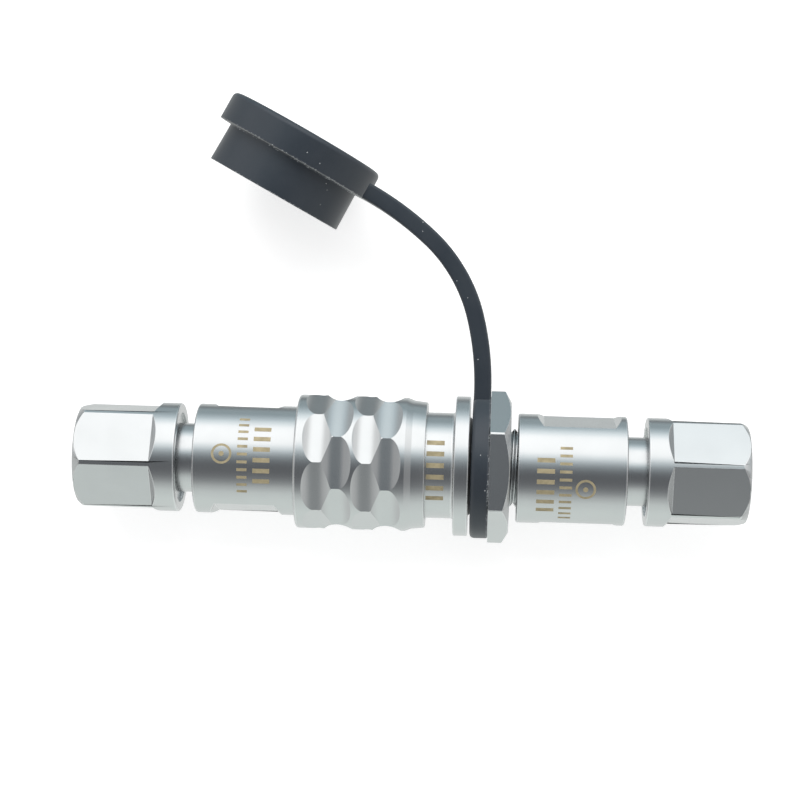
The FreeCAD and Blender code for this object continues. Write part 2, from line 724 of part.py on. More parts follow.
def build_back_shells():
    """The two rear shells: a thread at the front, a web, and the cable gland's bore at the rear."""
    plug = new_piece("plug_back_shell")
    revolve(plug, [
        ("plug_shell_rear", "gland_bore"),
        ("plug_gland_floor", "gland_bore"),
        ("plug_gland_floor", "wire_hole"),
        ("plug_thread_floor", "wire_hole"),
        ("plug_thread_floor", "plug_thread_bore"),
        ("plug_shell_front", "plug_thread_bore"),
        ("plug_shell_front", "shell_radius - shell_chamfer"),
        ("plug_shell_front - shell_chamfer", "shell_radius"),
        ("plug_shell_rear + shell_chamfer", "shell_radius"),
        ("plug_shell_rear", "shell_radius - shell_chamfer"),
    ])
    start = "plug_shell_rear + plug_flat_start"
    mill_flats(plug, "flat_count", "plug_flat_turn", "shell_radius", "flat_depth",
               start, f"{start} + plug_flat_length", "flat_ramp")
    socket = new_piece("socket_back_shell")
    revolve(socket, [
        ("socket_shell_front", "nut_thread_bore"),
        ("socket_thread_floor", "nut_thread_bore"),
        ("socket_thread_floor", "wire_hole"),
        ("socket_gland_floor", "wire_hole"),
        ("socket_gland_floor", "gland_bore"),
        ("socket_shell_rear", "gland_bore"),
        ("socket_shell_rear", "shell_radius - shell_chamfer"),
        ("socket_shell_rear - shell_chamfer", "shell_radius"),
        ("socket_shell_front + shell_chamfer", "shell_radius"),
        ("socket_shell_front", "shell_radius - shell_chamfer"),
    ])
    start = "socket_shell_front + socket_flat_start"
    mill_flats(socket, "flat_count", "socket_flat_turn", "shell_radius", "flat_depth",
               start, f"{start} + socket_flat_length", "flat_ramp")
    seal_ring("socket_shell_oring", "thread_length + socket_seal_wire",
              "(nut_thread_bore + insert_bore) / 2", "socket_seal_wire")


def build_gland(half, floor, shoulder, nut_turn, turned_round=False):
    """Cable seal, washer, clamping claw and clamping nut, seen from the shell outwards."""
    ring(f"{half}_cable_seal", floor, "cable_seal_length", "cable_seal_bore", "gland_fit", turned_round)
    outwards = "-" if turned_round else "+"
    ring(f"{half}_thrust_washer", f"{floor} {outwards} cable_seal_length", "washer_thick",
         "claw_bore", "gland_fit", turned_round)
    claw = new_piece(f"{half}_clamp_claw", shoulder, turned_round)
    ring_end = "-spigot_length - claw_ring"
    tip = f"claw_length {ring_end}"
    revolve(claw, [
        (ring_end, "claw_bore"),
        (ring_end, "gland_fit"),
        ("-spigot_length", "gland_fit"),
        ("-spigot_length", "claw_outer"),
        (f"{tip} - claw_taper * 2", "claw_outer"),
        (tip, "claw_outer - claw_taper"),
        (tip, "claw_bore"),
    ])
    sketch = new_sketch(claw, "slot_outline")
    draw_outline(sketch, [("-spigot_length", "0"), (f"{tip} + claw_slot", "0"),
                          (f"{tip} + claw_slot", "gland_fit"), ("-spigot_length", "gland_fit")])
    mill(claw, "slots", sketch, "claw_slot", "claw_count")
    nut = new_piece(f"{half}_clamp_nut", shoulder, turned_round)
    revolve(nut, [
        ("-spigot_length", "nut_bore"),
        ("nut_length - exit_length - exit_cone", "nut_bore"),
        ("nut_length - exit_length", "cable_bore"),
        ("nut_length - edge_break", "cable_bore"),
        ("nut_length", "cable_bore + edge_break"),
        ("nut_length", "nut_face"),
        ("nut_length - nut_chamfer", "collar_radius"),
        ("edge_break", "collar_radius"),
        ("0", "collar_radius - edge_break"),
        ("0", "collar_radius - collar_rim"),
        ("collar_recess", "collar_radius - collar_rim"),
        ("collar_recess", "spigot_radius"),
        ("-spigot_length + thread_chamfer", "spigot_radius"),
        ("-spigot_length", "spigot_radius - thread_chamfer"),
    ])
    mill_flats(nut, "hexagon_count", nut_turn, "collar_radius", "collar_radius - nut_across / 2",
               "collar_length", "nut_length + nut_chamfer", "nut_ramp")


def build_panel_nut():
    nut = new_piece("panel_nut", "seal_proud + tether_thick")
    revolve(nut, [
        ("0", "nut_thread_bore"),
        ("panel_nut_thick", "nut_thread_bore"),
        ("panel_nut_thick", "panel_nut_face"),
        ("panel_nut_thick - panel_nut_chamfer", "panel_nut_corner"),
        ("0", "panel_nut_corner"),
    ])
    mill_flats(nut, "hexagon_count", "90 + panel_nut_turn", "panel_nut_corner",
               "panel_nut_corner - panel_nut_across / 2", "-panel_nut_thick", "panel_nut_thick * 2", "0")


def draw_strap_line(cap):
    """The strap's middle line: out of the ring, through the three arcs and into the cap's brim."""
    line = new_sketch(cap, "strap_line")
    places = [("tether_middle", "tether_radius - strap_root"), ("strap_x_0", "strap_y_0")]
    ends = [FreeCAD.Vector(now(x), now(y), 0) for x, y in places]
    line.addGeometry(Part.LineSegment(*ends), False)
    hold_point(line, 0, 1, *places[0])
    hold_point(line, 0, 2, *places[1])
    for arc in STRAP_ARCS:
        middle = (f"strap_middle_x_{arc}", f"strap_middle_y_{arc}")
        whole = Part.Circle(FreeCAD.Vector(now(middle[0]), now(middle[1]), 0),
                            FreeCAD.Vector(0, 0, 1), now(f"strap_radius_{arc}"))
        start = math.radians(now(f"strap_turn_{arc - 1}"))
        end = math.radians(now(f"strap_turn_{arc}"))
        edge = line.addGeometry(Part.ArcOfCircle(whole, start, end), False)
        hold_point(line, edge, 3, *middle)
        line.addConstraint(Sketcher.Constraint("Coincident", edge, 1, edge - 1, 2))
        made = line.addConstraint(Sketcher.Constraint("DistanceY", -1, 1, edge, 2, now(f"strap_y_{arc}")))
        bind(line, f"Constraints[{made}]", f"strap_y_{arc}")
    joint = FreeCAD.Vector(now(f"strap_x_{LAST}"), now(f"strap_y_{LAST}"), 0)
    root = FreeCAD.Vector(now("root_x"), now("root_y"), 0)
    edge = line.addGeometry(Part.LineSegment(joint, root), False)
    line.addConstraint(Sketcher.Constraint("Coincident", edge, 1, edge - 1, 2))
    hold_point(line, edge, 2, "root_x", "root_y")
    return line


def rounded(radius, depth, round_radius):
    """Corners that stand in for a rounded edge at (radius, depth), from the flat face outwards."""
    slopes = [90 * step / ROUND_STEPS for step in range(ROUND_STEPS + 1)]
    return [(f"{radius} - {round_radius} * (1 - sin({slope}deg))",
             f"{depth} + {round_radius} * (1 - cos({slope}deg))") for slope in slopes]


def build_dust_cap():
    """The rubber ring under the panel nut, its flat strap and the cap, moulded in one piece."""
    cap = new_piece("dust_cap")
    revolve(cap, [
        ("seal_proud", "thread_radius + tether_clearance"),
        ("seal_proud + tether_thick", "thread_radius + tether_clearance"),
        ("seal_proud + tether_thick", "tether_radius"),
        ("seal_proud + tether_chamfer", "tether_radius"),
        ("seal_proud", "tether_radius - tether_chamfer"),
    ], name="tether_ring")
    line = draw_strap_line(cap)
    section = new_sketch(cap, "strap_section", plane="XZ_Plane", offset="strap_root - tether_radius")
    left = "tether_middle - strap_thick / 2"
    right = "tether_middle + strap_thick / 2"
    side = "strap_width / 2"
    draw_outline(section, [(f"{left} + tether_chamfer", f"-{side}"), (right, f"-{side}"), (right, side),
                           (f"{left} + tether_chamfer", side), (left, f"{side} - tether_chamfer"),
                           (left, f"tether_chamfer - {side}")])
    strap = cap.newObject("PartDesign::AdditivePipe", "dust_cap_strap")
    strap.Profile = section
    strap.Spine = (line, [f"Edge{edge + 1}" for edge in range(line.GeometryCount)])
    profile = new_sketch(cap, "cap_outline")
    about_z = FreeCAD.Rotation(FreeCAD.Vector(0, 0, 1), now("90 + cap_turn"))
    profile.AttachmentOffset = FreeCAD.Placement(FreeCAD.Vector(now("cap_x"), now("cap_y"), 0), about_z)
    bind(profile, "AttachmentOffset.Base.x", "cap_x")
    bind(profile, "AttachmentOffset.Base.y", "cap_y")
    bind(profile, "AttachmentOffset.Rotation.Angle", "90 + cap_turn")
    cavity = "nose_radius + cap_fit"
    draw_outline(profile, [("0", "0")] + rounded("brim_radius", "0", "brim_round") + [
        ("brim_radius", "brim_height"),
        ("skirt_radius - skirt_draft", "brim_height"),
        ("skirt_radius", "cap_height"),
        (cavity, "cap_height"),
        (cavity, "cap_height - cap_bead * 4"),
        (f"{cavity} - cap_bead", "cap_height - cap_bead * 5"),
        (cavity, "cap_height - cap_bead * 6"),
        (cavity, "cap_roof"),
        ("0", "cap_roof"),
    ])
    turning = cap.newObject("PartDesign::Revolution", "dust_cap_turning")
    turning.Profile = profile
    turning.ReferenceAxis = (profile, ["V_Axis"])
    turning.Angle = 360
    cap.Placement = FreeCAD.Placement(FreeCAD.Vector(), FreeCAD.Rotation(FreeCAD.Vector(1, 0, 0), now("cap_lift")))
    bind(cap, "Placement.Rotation.Angle", "cap_lift")


def check_model(pieces):
    """Stops the build where a feature failed, a cut took nothing away or a piece is not one sound solid."""
    for thing in doc.Objects:
        if {"Invalid", "Error"} & set(thing.State):
            raise RuntimeError(f"{thing.Label} did not compute: {thing.State}")
    for cut in CUTS:
        if cut.Shape.Volume >= cut.BaseFeature.Shape.Volume:
            raise RuntimeError(f"{cut.Label} cuts nothing")
    for piece in pieces:
        if piece.Shape.isNull() or not piece.Shape.isValid() or len(piece.Shape.Solids) != 1:
            raise RuntimeError(f"{piece.Label} is not one sound solid")


def write_steps(pieces):
    os.makedirs("parts", exist_ok=True)
    for piece in pieces:
        piece.Shape.exportStep(f"parts/{piece.Label}.step")


fill_sheet()
build_socket_shell()
build_socket_contacts()
build_barrel()
build_plug_contacts()
build_latch()
build_sleeve()
build_back_shells()
build_gland("plug", "plug_gland_floor", "plug_shell_rear - plug_nut_gap", "90 + plug_nut_turn", turned_round=True)
build_gland("socket", "socket_gland_floor", "socket_shell_rear + socket_nut_gap", "90 - socket_nut_turn")
build_panel_nut()
build_dust_cap()
doc.recompute()
solids = [thing for thing in doc.Objects if thing.TypeId in ("PartDesign::Body", "Part::Torus")]
check_model(solids)
write_steps(solids)
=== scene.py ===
import math

import bmesh
import bpy
from bpy.props import FloatProperty, FloatVectorProperty, IntProperty, PointerProperty
from mathutils import Matrix, Vector


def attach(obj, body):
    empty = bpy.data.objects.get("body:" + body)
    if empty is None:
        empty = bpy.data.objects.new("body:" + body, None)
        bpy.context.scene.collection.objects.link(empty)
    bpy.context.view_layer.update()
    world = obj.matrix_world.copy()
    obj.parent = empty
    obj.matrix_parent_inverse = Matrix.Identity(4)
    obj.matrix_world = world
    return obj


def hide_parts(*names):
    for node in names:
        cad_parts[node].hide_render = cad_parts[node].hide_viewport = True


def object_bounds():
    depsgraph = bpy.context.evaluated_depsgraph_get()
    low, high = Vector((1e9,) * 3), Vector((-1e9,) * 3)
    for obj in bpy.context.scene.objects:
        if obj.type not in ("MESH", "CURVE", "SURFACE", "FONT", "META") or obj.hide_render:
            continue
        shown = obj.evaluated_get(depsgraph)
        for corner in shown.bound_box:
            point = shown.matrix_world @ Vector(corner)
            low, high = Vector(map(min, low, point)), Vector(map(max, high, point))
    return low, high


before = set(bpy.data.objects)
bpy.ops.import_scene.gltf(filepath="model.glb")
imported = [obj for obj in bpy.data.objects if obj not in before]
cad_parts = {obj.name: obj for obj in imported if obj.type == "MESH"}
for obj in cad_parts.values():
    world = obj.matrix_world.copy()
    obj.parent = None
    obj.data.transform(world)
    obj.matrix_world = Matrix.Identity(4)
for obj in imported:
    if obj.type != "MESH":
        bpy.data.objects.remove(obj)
CAD_BOX = [list(corner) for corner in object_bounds()]

bl_info = {
    "name": "Waterproof connector pair",
    "version": (1, 0, 0),
    "blender": (4, 5, 0),
    "location": "3D View > Sidebar > Connector",
    "description": "Builds the visible pieces of a mated plug and panel socket with a tethered dust cap",
    "category": "Add Mesh",
}

MM = 0.001
# Steps in one turn of metal, of rubber, of a thread, of the tent, of a dimple's cutter and of a round mark.
TURN_STEPS = 240
RUBBER_STEPS = 180
THREAD_STEPS = 96
TENT_STEPS = 96
DIMPLE_STEPS = 128
MARK_STEPS = 40
# Steps along a rounded corner.
CORNER_STEPS = 4
# Vertices nearer than this are one, and points nearer than this to the axis lie on it.
MERGE_REACH = 2e-6
AXIS_REACH = 1e-7
# A corner this near to straight isn't rounded, and a rounding takes up at most this share of each side.
STRAIGHT_ANGLE = 0.03
SIDE_SHARE = 0.45
# Edges bent by more than this stay sharp, or are rounded where a piece asks for it.
SHARP_ANGLE = math.radians(25)
# A face of a rounded edge is bent by at least this angle from the next and is at most this wide.
EASED_ANGLE = math.radians(8)
EASED_WIDTH = 0.00015
# A flat face of at least this area keeps its own normal at its corners.
FLAT_AREA = 8e-7
# How nearly a point lies on a round or in a dimple to count as part of it, and how square to the axis the
# normal of a round's face is.
ROUND_REACH = 1e-5
DIMPLE_REACH = 4e-6
SQUARE_REACH = 0.02

# Outer radii of the turned pieces, in millimetres.
NUT_RADIUS = 6.22
SHELL_RADIUS = 6.25
SLEEVE_RADIUS = 7.65
NOSE_RADIUS = 6.05
PANEL_NUT_RADIUS = 8.72
THREAD_ROOT = 4.09

# Turned outlines as (along X, radius) corners in millimetres. A third number is that corner's own rounding.
# The clamp nut's is measured from the front face of its collar.
NUT_OUTLINE = [
    (-5.3, 3.2), (7.95, 3.2), (8.55, 2.75), (11.5, 2.75), (11.65, 2.9), (11.65, 5.2, 0.15),
    (11.5, 5.55, 0.2), (10.7, NUT_RADIUS, 0.35), (0.0, NUT_RADIUS, 0.2), (0.0, 5.12, 0.05),
    (0.35, 5.12, 0.05), (0.35, 3.95, 0.05), (-5.0, 3.95), (-5.3, 3.65),
]
PLUG_SHELL_OUTLINE = [
    (-31.1, 4.0, 0.05), (-22.2, 4.0, 0), (-22.2, 3.2), (-21.3, 3.2), (-21.3, 4.95, 0),
    (-17.0, 4.95, 0.05), (-17.0, SHELL_RADIUS, 0.2), (-31.1, SHELL_RADIUS, 0.22),
]
SOCKET_SHELL_OUTLINE = [
    (5.5, 4.55, 0.1), (8.9, 4.55, 0), (8.9, 3.2), (9.8, 3.2), (9.8, 4.0, 0),
    (17.9, 4.0, 0.05), (17.9, SHELL_RADIUS, 0.22), (5.5, SHELL_RADIUS, 0.2),
]
SLEEVE_OUTLINE = [
    (-19.6, 6.4, 0.05), (-12.5, 6.4, 0), (-12.5, 6.22, 0), (-8.6, 6.22, 0), (-8.6, 5.8, 0.05),
    (-6.4, 5.8, 0.05), (-6.4, 6.2, 0), (-4.9, 6.2, 0.05), (-4.9, 7.19, 0.12), (-6.42, 7.37, 0.3),
    (-7.16, SLEEVE_RADIUS, 0.04), (-19.6, SLEEVE_RADIUS, 0.3),
]
SOCKET_OUTLINE = [
    (-9.5, 4.25, 0.1), (-2.4, 4.25, 0), (-2.4, 3.4), (-1.2, 3.4), (-1.2, 3.6, 0), (6.3, 3.6, 0),
    (6.3, 3.85, 0), (6.92, 3.85, 0), (6.92, 3.6, 0), (8.4, 3.6, 0.05), (8.4, THREAD_ROOT),
    (0.9, THREAD_ROOT), (0.5, 4.5), (0.0, 4.5, 0), (0.0, 4.65, 0), (-0.77, 4.65, 0), (-0.77, 5.75, 0),
    (0.0, 5.75, 0.05), (0.0, 8.0, 0.15), (-1.65, 8.0, 0.15), (-1.65, NOSE_RADIUS, 0.35),
    (-6.0, NOSE_RADIUS, 0.15), (-6.0, 5.1, 0.05), (-6.65, 5.1), (-7.0, 4.75), (-7.5, 4.75),
    (-7.85, 5.1), (-9.5, 5.1, 0.2),
]
PANEL_NUT_OUTLINE = [
    (2.32, 4.55), (4.68, 4.55), (4.68, 7.45), (3.94, PANEL_NUT_RADIUS), (2.32, PANEL_NUT_RADIUS, 0.12),
]
TETHER_OUTLINE = [(0.28, 4.6), (2.32, 4.6), (2.32, 8.2, 0.2), (0.28, 8.2, 0.5)]
# The dust cap about its own axis, from the closed face to the mouth.
CAP_OUTLINE = [
    (0.0, 0.0, 0), (0.0, 9.5, 0.6), (3.4, 9.5, 0.1), (3.4, 8.12, 0.2), (8.0, 8.2, 0.1),
    (8.0, 6.1, 0.1), (7.2, 6.1), (7.0, 5.9), (6.8, 6.1), (1.5, 6.1, 0.3), (1.5, 0.0, 0),
]
# The rounding of the rubber's corners that have none of their own.
TETHER_ROUND = 0.1
CAP_ROUND = 0.15
# The key in the socket's nose as (along X, out) corners, and half its width.
KEY_OUTLINE = ((-9.0, 3.95), (-2.3, 3.95), (-2.3, 4.55), (-9.0, 4.55))
KEY_HALF_WIDTH = 0.6
# Where the panel thread starts, how far it runs, and how deep its foot sinks into the root.
THREAD_START = 0.8
THREAD_LENGTH = 7.4
THREAD_SINK = 0.02
# The widths of the thread's crest and foot as shares of its pitch.
CREST_SHARE = 0.12
FOOT_SHARE = 0.92
# Where the clamp nuts' collars stand, and where their flats run from there.
PLUG_NUT_X = -33.1
SOCKET_NUT_X = 20.2
NUT_FLATS = (2.85, 13.37)
# Where the other flats run. A ramp is how far a flat's sloping end runs along for each step out.
NUT_RAMP = 0.9
PLUG_SHELL_FLATS = (-28.7, -22.0)
SOCKET_SHELL_FLATS = (8.4, 16.5)
SHELL_RAMP = 1.1
PANEL_NUT_FLATS = (0.0, 8.0)
NUT_SIDES = 6
SHELL_SIDES = 2
# Half the length of the cutters that mill the dimples.
DIMPLE_HALF_WIDTH = 3.8

# Where flats and dimples face, in degrees from straight up towards +Y.
PLUG_NUT_TURN = 23.4
SOCKET_NUT_TURN = -20.0
PANEL_NUT_TURN = -2.6
PLUG_FLAT_TURN = 100.0
SOCKET_FLAT_TURN = 78.0
DIMPLE_ROWS = ((-17.0, 23.6), (-14.75, 1.1), (-11.45, 23.6), (-9.2, 1.1))

# The strap's middle line: a straight root, then arcs as (radius, angle) that bend it over towards -X.
STRAP_ROOT = (1.3, 6.7)
STRAP_START = (1.3, 8.9)
STRAP_ARCS = ((32.0, 15.0), (18.0, 33.0), (36.0, 14.0))
STRAP_END_ROOT = 1.5
# The arcs' step in degrees, and the rounding of the strap's section.
STRAP_STEP = 1.5
STRAP_ROUND = 0.35
# The middle of the cap's closed face, the way it faces, and how far cap and strap are turned up about the
# socket, both in degrees.
CAP_MIDDLE = (-19.57, 37.54)
CAP_TURN = 62.0
CAP_LIFT = 2.16

# Etched marks as (body, radius, rows of bars).
# A row is (x from, x to, first turn, last turn, bars, share filled).
MARK_ROWS = {
    "plug_marks": ("plug", SHELL_RADIUS, (
        (-24.2, -22.3, 37.0, -23.5, 6, 0.42), (-26.0, -24.85, 49.0, -35.0, 11, 0.36))),
    "nose_marks": ("socket", NOSE_RADIUS, ((-4.75, -2.75, 29.0, -38.5, 6, 0.42),)),
    "socket_marks": ("socket", SHELL_RADIUS, (
        (7.7, 9.7, 13.0, -48.0, 6, 0.42), (10.25, 11.65, 25.5, -60.5, 11, 0.36))),
}
# Round marks as (marks piece, middle x, middle turn, radius, line), and the dot's radius for one of line.
ROUND_MARKS = (("plug_marks", -27.75, 6.9, 1.15, 0.26), ("socket_marks", 13.2, -18.9, 1.15, 0.26))
DOT_SHARE = 1.1

INNER_FINISHES = {
    "brass": ("plug_barrel", "plug_thrust_washer", "socket_thrust_washer"),
    "spring_steel": ("latch_collet", "collet_circlip", "sleeve_spring", "socket_insert_circlip",
                     "plug_insert_circlip", "sleeve_stop_ring", "plug_clamp_claw", "socket_clamp_claw"),
    "gold": tuple(f"{kind}_{place}" for kind in ("socket_contact", "plug_pin") for place in (1, 2, 3, 4)),
    "insulator": ("socket_insert", "plug_insert"),
    "seal_rubber": ("panel_oring", "plug_shell_oring", "barrel_oring", "socket_shell_oring",
                    "plug_cable_seal", "socket_cable_seal"),
}

# Colours that the tent shows by direction, in degrees from straight up towards +Y.
TENT_TONES = (
    (-180, (0.84, 0.86, 0.85)), (-100, (0.93, 1.0, 0.97)), (-75, (0.86, 0.92, 0.9)),
    (-60, (0.66, 0.7, 0.69)), (-47, (0.36, 0.38, 0.385)), (-36, (0.22, 0.23, 0.24)),
    (-24, (0.165, 0.172, 0.182)), (-12, (0.15, 0.158, 0.168)), (-2, (0.19, 0.205, 0.22)),
    (8, (0.33, 0.37, 0.39)), (17, (0.62, 0.7, 0.73)), (26, (1.15, 1.24, 1.27)),
    (36, (1.66, 1.68, 1.68)), (72, (1.7, 1.72, 1.72)), (84, (1.2, 1.32, 1.36)),
    (97, (0.66, 0.78, 0.83)), (112, (0.38, 0.47, 0.5)), (126, (0.44, 0.53, 0.56)),
    (137, (0.2, 0.22, 0.23)), (150, (0.66, 0.7, 0.7)), (163, (0.84, 0.87, 0.86)),
    (180, (0.84, 0.86, 0.85)),
)
# The tent turns to this colour towards its ends, between these distances in metres and by this share.
TENT_END_TONE = (0.38, 0.38, 0.38)
TENT_END_FROM, TENT_END_TO, TENT_END_SHARE = 0.14, 0.5, 0.62
TENT_OUTLINE = ((-0.8, 0.0), (-0.8, 0.5), (0.8, 0.5), (0.8, 0.0))
# Half the floor's width, and how far it lies under the object, in metres.
FLOOR_HALF = 3.0
FLOOR_GAP = 2e-5
# A Mix node's first and second colour and its result, by place, as their names are those of its other values.
FIRST_COLOUR, SECOND_COLOUR, MIXED_COLOUR = 6, 7, 2
# The share of the rounds' turning lines that a shoulder has.
SHOULDER_SHARE = 0.22
# The camera's place and the point that it looks at, in millimetres, and its lean in degrees.
CAMERA_PLACE = (3.0, 7.53, 238.0)
CAMERA_TARGET = (-1.0, 7.53, 0.0)
CAMERA_LEAN = 1.8


def length(name, description, default):
    """A size in metres."""
    return FloatProperty(name=name, description=description, default=default, min=0,
                         unit="LENGTH", precision=5)


def colour(name, description, default):
    """A colour as its red, green and blue."""
    return FloatVectorProperty(name=name, description=description, default=default, min=0, max=1,
                               subtype="COLOR")


class ConnectorSizes(bpy.types.PropertyGroup):
    """Sizes that a user would change"""

    nut_across: length("Clamp nut across flats", "Width of both clamp nuts' hexagons", 0.011)
    panel_nut_across: length("Panel nut across flats", "Width of the panel nut's hexagon", 0.0152)
    shell_flat: length("Shell flat depth", "Depth of the flats on the rear shells", 0.00065)
    dimple_radius: length("Dimple radius", "Radius of the cutter that mills the sleeve's dimples", 0.0025)
    dimple_depth: length("Dimple depth", "Depth of the sleeve's dimples at their middle", 0.00062)
    dimple_count: IntProperty(name="Dimples in a row", description="Dimples round the sleeve",
                              default=8, min=3)
    thread_pitch: length("Thread pitch", "Pitch of the socket's panel thread", 0.00075)
    thread_height: length("Thread height", "Height of the panel thread above its root", 0.00041)
    edge_round: length("Edge rounding", "Rounding of turned edges that have none of their own", 0.00012)
    cut_edge: length("Cut edge rounding", "Rounding along the edges of milled flats", 0.00005)
    strap_thick: length("Strap thickness", "Thickness of the dust cap's strap", 0.00196)
    strap_width: length("Strap width", "Width of the dust cap's strap", 0.005)
    mark_height: length("Mark height", "How far an etched mark stands off the metal", 0.000012)


class ConnectorFinishes(bpy.types.PropertyGroup):
    """Colours that a user would change"""

    plate: colour("Plating", "Satin nickel-chrome plating", (0.595, 0.603, 0.607))
    brass: colour("Brass", "Bare brass of the inner tube", (0.72, 0.5, 0.2))
    steel: colour("Spring steel", "Springs, rings and claws", (0.5, 0.49, 0.47))
    gold: colour("Gold", "Plating of the contacts", (0.9, 0.62, 0.22))
    insulator: colour("Insulator", "Moulded carriers of the contacts", (0.02, 0.021, 0.023))
    rubber: colour("Rubber", "Dust cap and strap", (0.024, 0.033, 0.045))
    seal: colour("Seals", "O-rings and cable seals", (0.02, 0.02, 0.021))
    mark: colour("Etched marks", "Tan of the laser-etched marks", (0.54, 0.46, 0.29))


# Shapes

def shown(name, data):
    """A new object of the scene, at the origin, from a mesh, a curve, a lamp or a camera."""
    piece = bpy.data.objects.new(name, data)
    bpy.context.scene.collection.objects.link(piece)
    return piece


def mesh_of(name, bm):
    """A piece from a bmesh, its normals turned outwards."""
    bmesh.ops.recalc_face_normals(bm, faces=bm.faces)
    mesh = bpy.data.meshes.new(name)
    bm.to_mesh(mesh)
    bm.free()
    return shown(name, mesh)


def eased(outline, rounding):
    """A closed outline in metres, made from one in millimetres, with its corners rounded."""
    corners = [Vector(corner[:2]) * MM for corner in outline]
    line = []
    for place, here in enumerate(corners):
        own = outline[place][2] * MM if len(outline[place]) > 2 else rounding
        back = corners[place - 1] - here
        on = corners[(place + 1) % len(corners)] - here
        opening = back.angle(on)
        if own <= 0 or abs(opening - math.pi) < STRAIGHT_ANGLE:
            line.append(here)
            continue
        reach = min(own / math.tan(opening / 2), back.length * SIDE_SHARE, on.length * SIDE_SHARE)
        back, on = back.normalized(), on.normalized()
        middle = here + (back + on).normalized() * reach / math.cos(opening / 2)
        spoke = here + back * reach - middle
        turn = math.copysign(math.pi - opening, spoke.cross(here + on * reach - middle))
        for step in range(CORNER_STEPS + 1):
            line.append(middle + Matrix.Rotation(turn * step / CORNER_STEPS, 2) @ spoke)
    return line


def band(bm, near, far):
    """Faces between two closed loops of as many points. Where points are one, a face has fewer corners."""
    for step in range(len(near)):
        on = (step + 1) % len(near)
        corners = list(dict.fromkeys((near[step], near[on], far[on], far[step])))
        if len(corners) > 2:
            bm.faces.new(corners)


def turned(name, line, steps=TURN_STEPS, placing=None):
    """A closed outline of (along X, radius) points turned about the X axis, then placed."""
    bm = bmesh.new()
    rings = []
    for along, out in line:
        if out < AXIS_REACH:
            rings.append([bm.verts.new((along, 0, 0))] * steps)
        else:
            turns = [2 * math.pi * step / steps for step in range(steps)]
            rings.append([bm.verts.new((along, out * math.cos(turn), out * math.sin(turn)))
                          for turn in turns])
    for place, ring in enumerate(rings):
        band(bm, ring, rings[(place + 1) % len(rings)])
    if placing:
        bm.transform(placing)
    return mesh_of(name, bm)


def prism(name, outline, half_width):
    """A closed outline of (x, z) points in metres, half_width to each side of Y = 0."""
    bm = bmesh.new()
    ends = [[bm.verts.new((x, side * half_width, z)) for x, z in outline] for side in (-1, 1)]
    for face in ends:
        bm.faces.new(face)
    band(bm, *ends)
    return mesh_of(name, bm)


def settled(piece):
    """Turns what a piece's modifiers make into its plain mesh."""
    graph = bpy.context.evaluated_depsgraph_get()
    mesh = bpy.data.meshes.new_from_object(piece.evaluated_get(graph), depsgraph=graph)
    name = piece.name
    if piece.type == "MESH":
        spent = piece.data
        piece.modifiers.clear()
        piece.data = mesh
        bpy.data.meshes.remove(spent)
        mesh.name = name
        return piece
    bpy.data.objects.remove(piece)
    return shown(name, mesh)


def worked(piece, tree, **inputs):
    """Runs a Geometry Nodes tree on a piece with its inputs set by name, and keeps the plain mesh."""
    step = piece.modifiers.new(tree.name, "NODES")
    step.node_group = tree
    for item in tree.interface.items_tree:
        if item.item_type == "SOCKET" and item.in_out == "INPUT" and item.name in inputs:
            step[item.identifier] = inputs[item.name]
    return settled(piece)


def joined_by(piece, operation, tools):
    """Cuts tools out of a piece or joins them to it, and removes the tools."""
    for tool in tools:
        step = piece.modifiers.new("Shape", "BOOLEAN")
        step.operation = operation
        step.solver = "EXACT"
        step.use_self = True
        step.object = tool
    settled(piece)
    for tool in tools:
        bpy.data.objects.remove(tool)


def finished(piece, cut_edge=0.0):
    """Smooths a piece between its sharp edges, after rounding those by cut_edge, and marks the faces of its
    rounded edges, where the materials paint a highlight. Its normals are weighted by area."""
    bm = bmesh.new()
    bm.from_mesh(piece.data)
    bmesh.ops.remove_doubles(bm, verts=bm.verts, dist=MERGE_REACH)
    bmesh.ops.dissolve_degenerate(bm, dist=MERGE_REACH / 2, edges=bm.edges)
    bmesh.ops.recalc_face_normals(bm, faces=bm.faces)
    bm.to_mesh(piece.data)
    bm.free()
    if cut_edge:
        bevel = piece.modifiers.new("Cut edges", "BEVEL")
        bevel.width = cut_edge
        bevel.segments = 2
        bevel.limit_method = "ANGLE"
        bevel.angle_limit = SHARP_ANGLE
        bevel.use_clamp_overlap = False
        settled(piece)
    bm = bmesh.new()
    bm.from_mesh(piece.data)
    # Faces of rounded edges are marked for the painted highlight that the materials put on them.
    highlight_layer = bm.faces.layers.float.new("edge")
    for edge in bm.edges:
        edge.smooth = edge.is_manifold and edge.calc_face_angle(0) < SHARP_ANGLE
    for face in bm.faces:
        face.smooth = True
        longest = max(edge.calc_length() for edge in face.edges)
        bent = any(edge.is_manifold and EASED_ANGLE < edge.calc_face_angle(0) < SHARP_ANGLE
                   and edge.calc_length() > longest / 2 for edge in face.edges)
        face[highlight_layer] = float(bent and face.calc_area() / longest < EASED_WIDTH)
    bm.to_mesh(piece.data)
    bm.free()
    weigh = piece.modifiers.new("Weighted normals", "WEIGHTED_NORMAL")
    weigh.keep_sharp = True
    settled(piece)


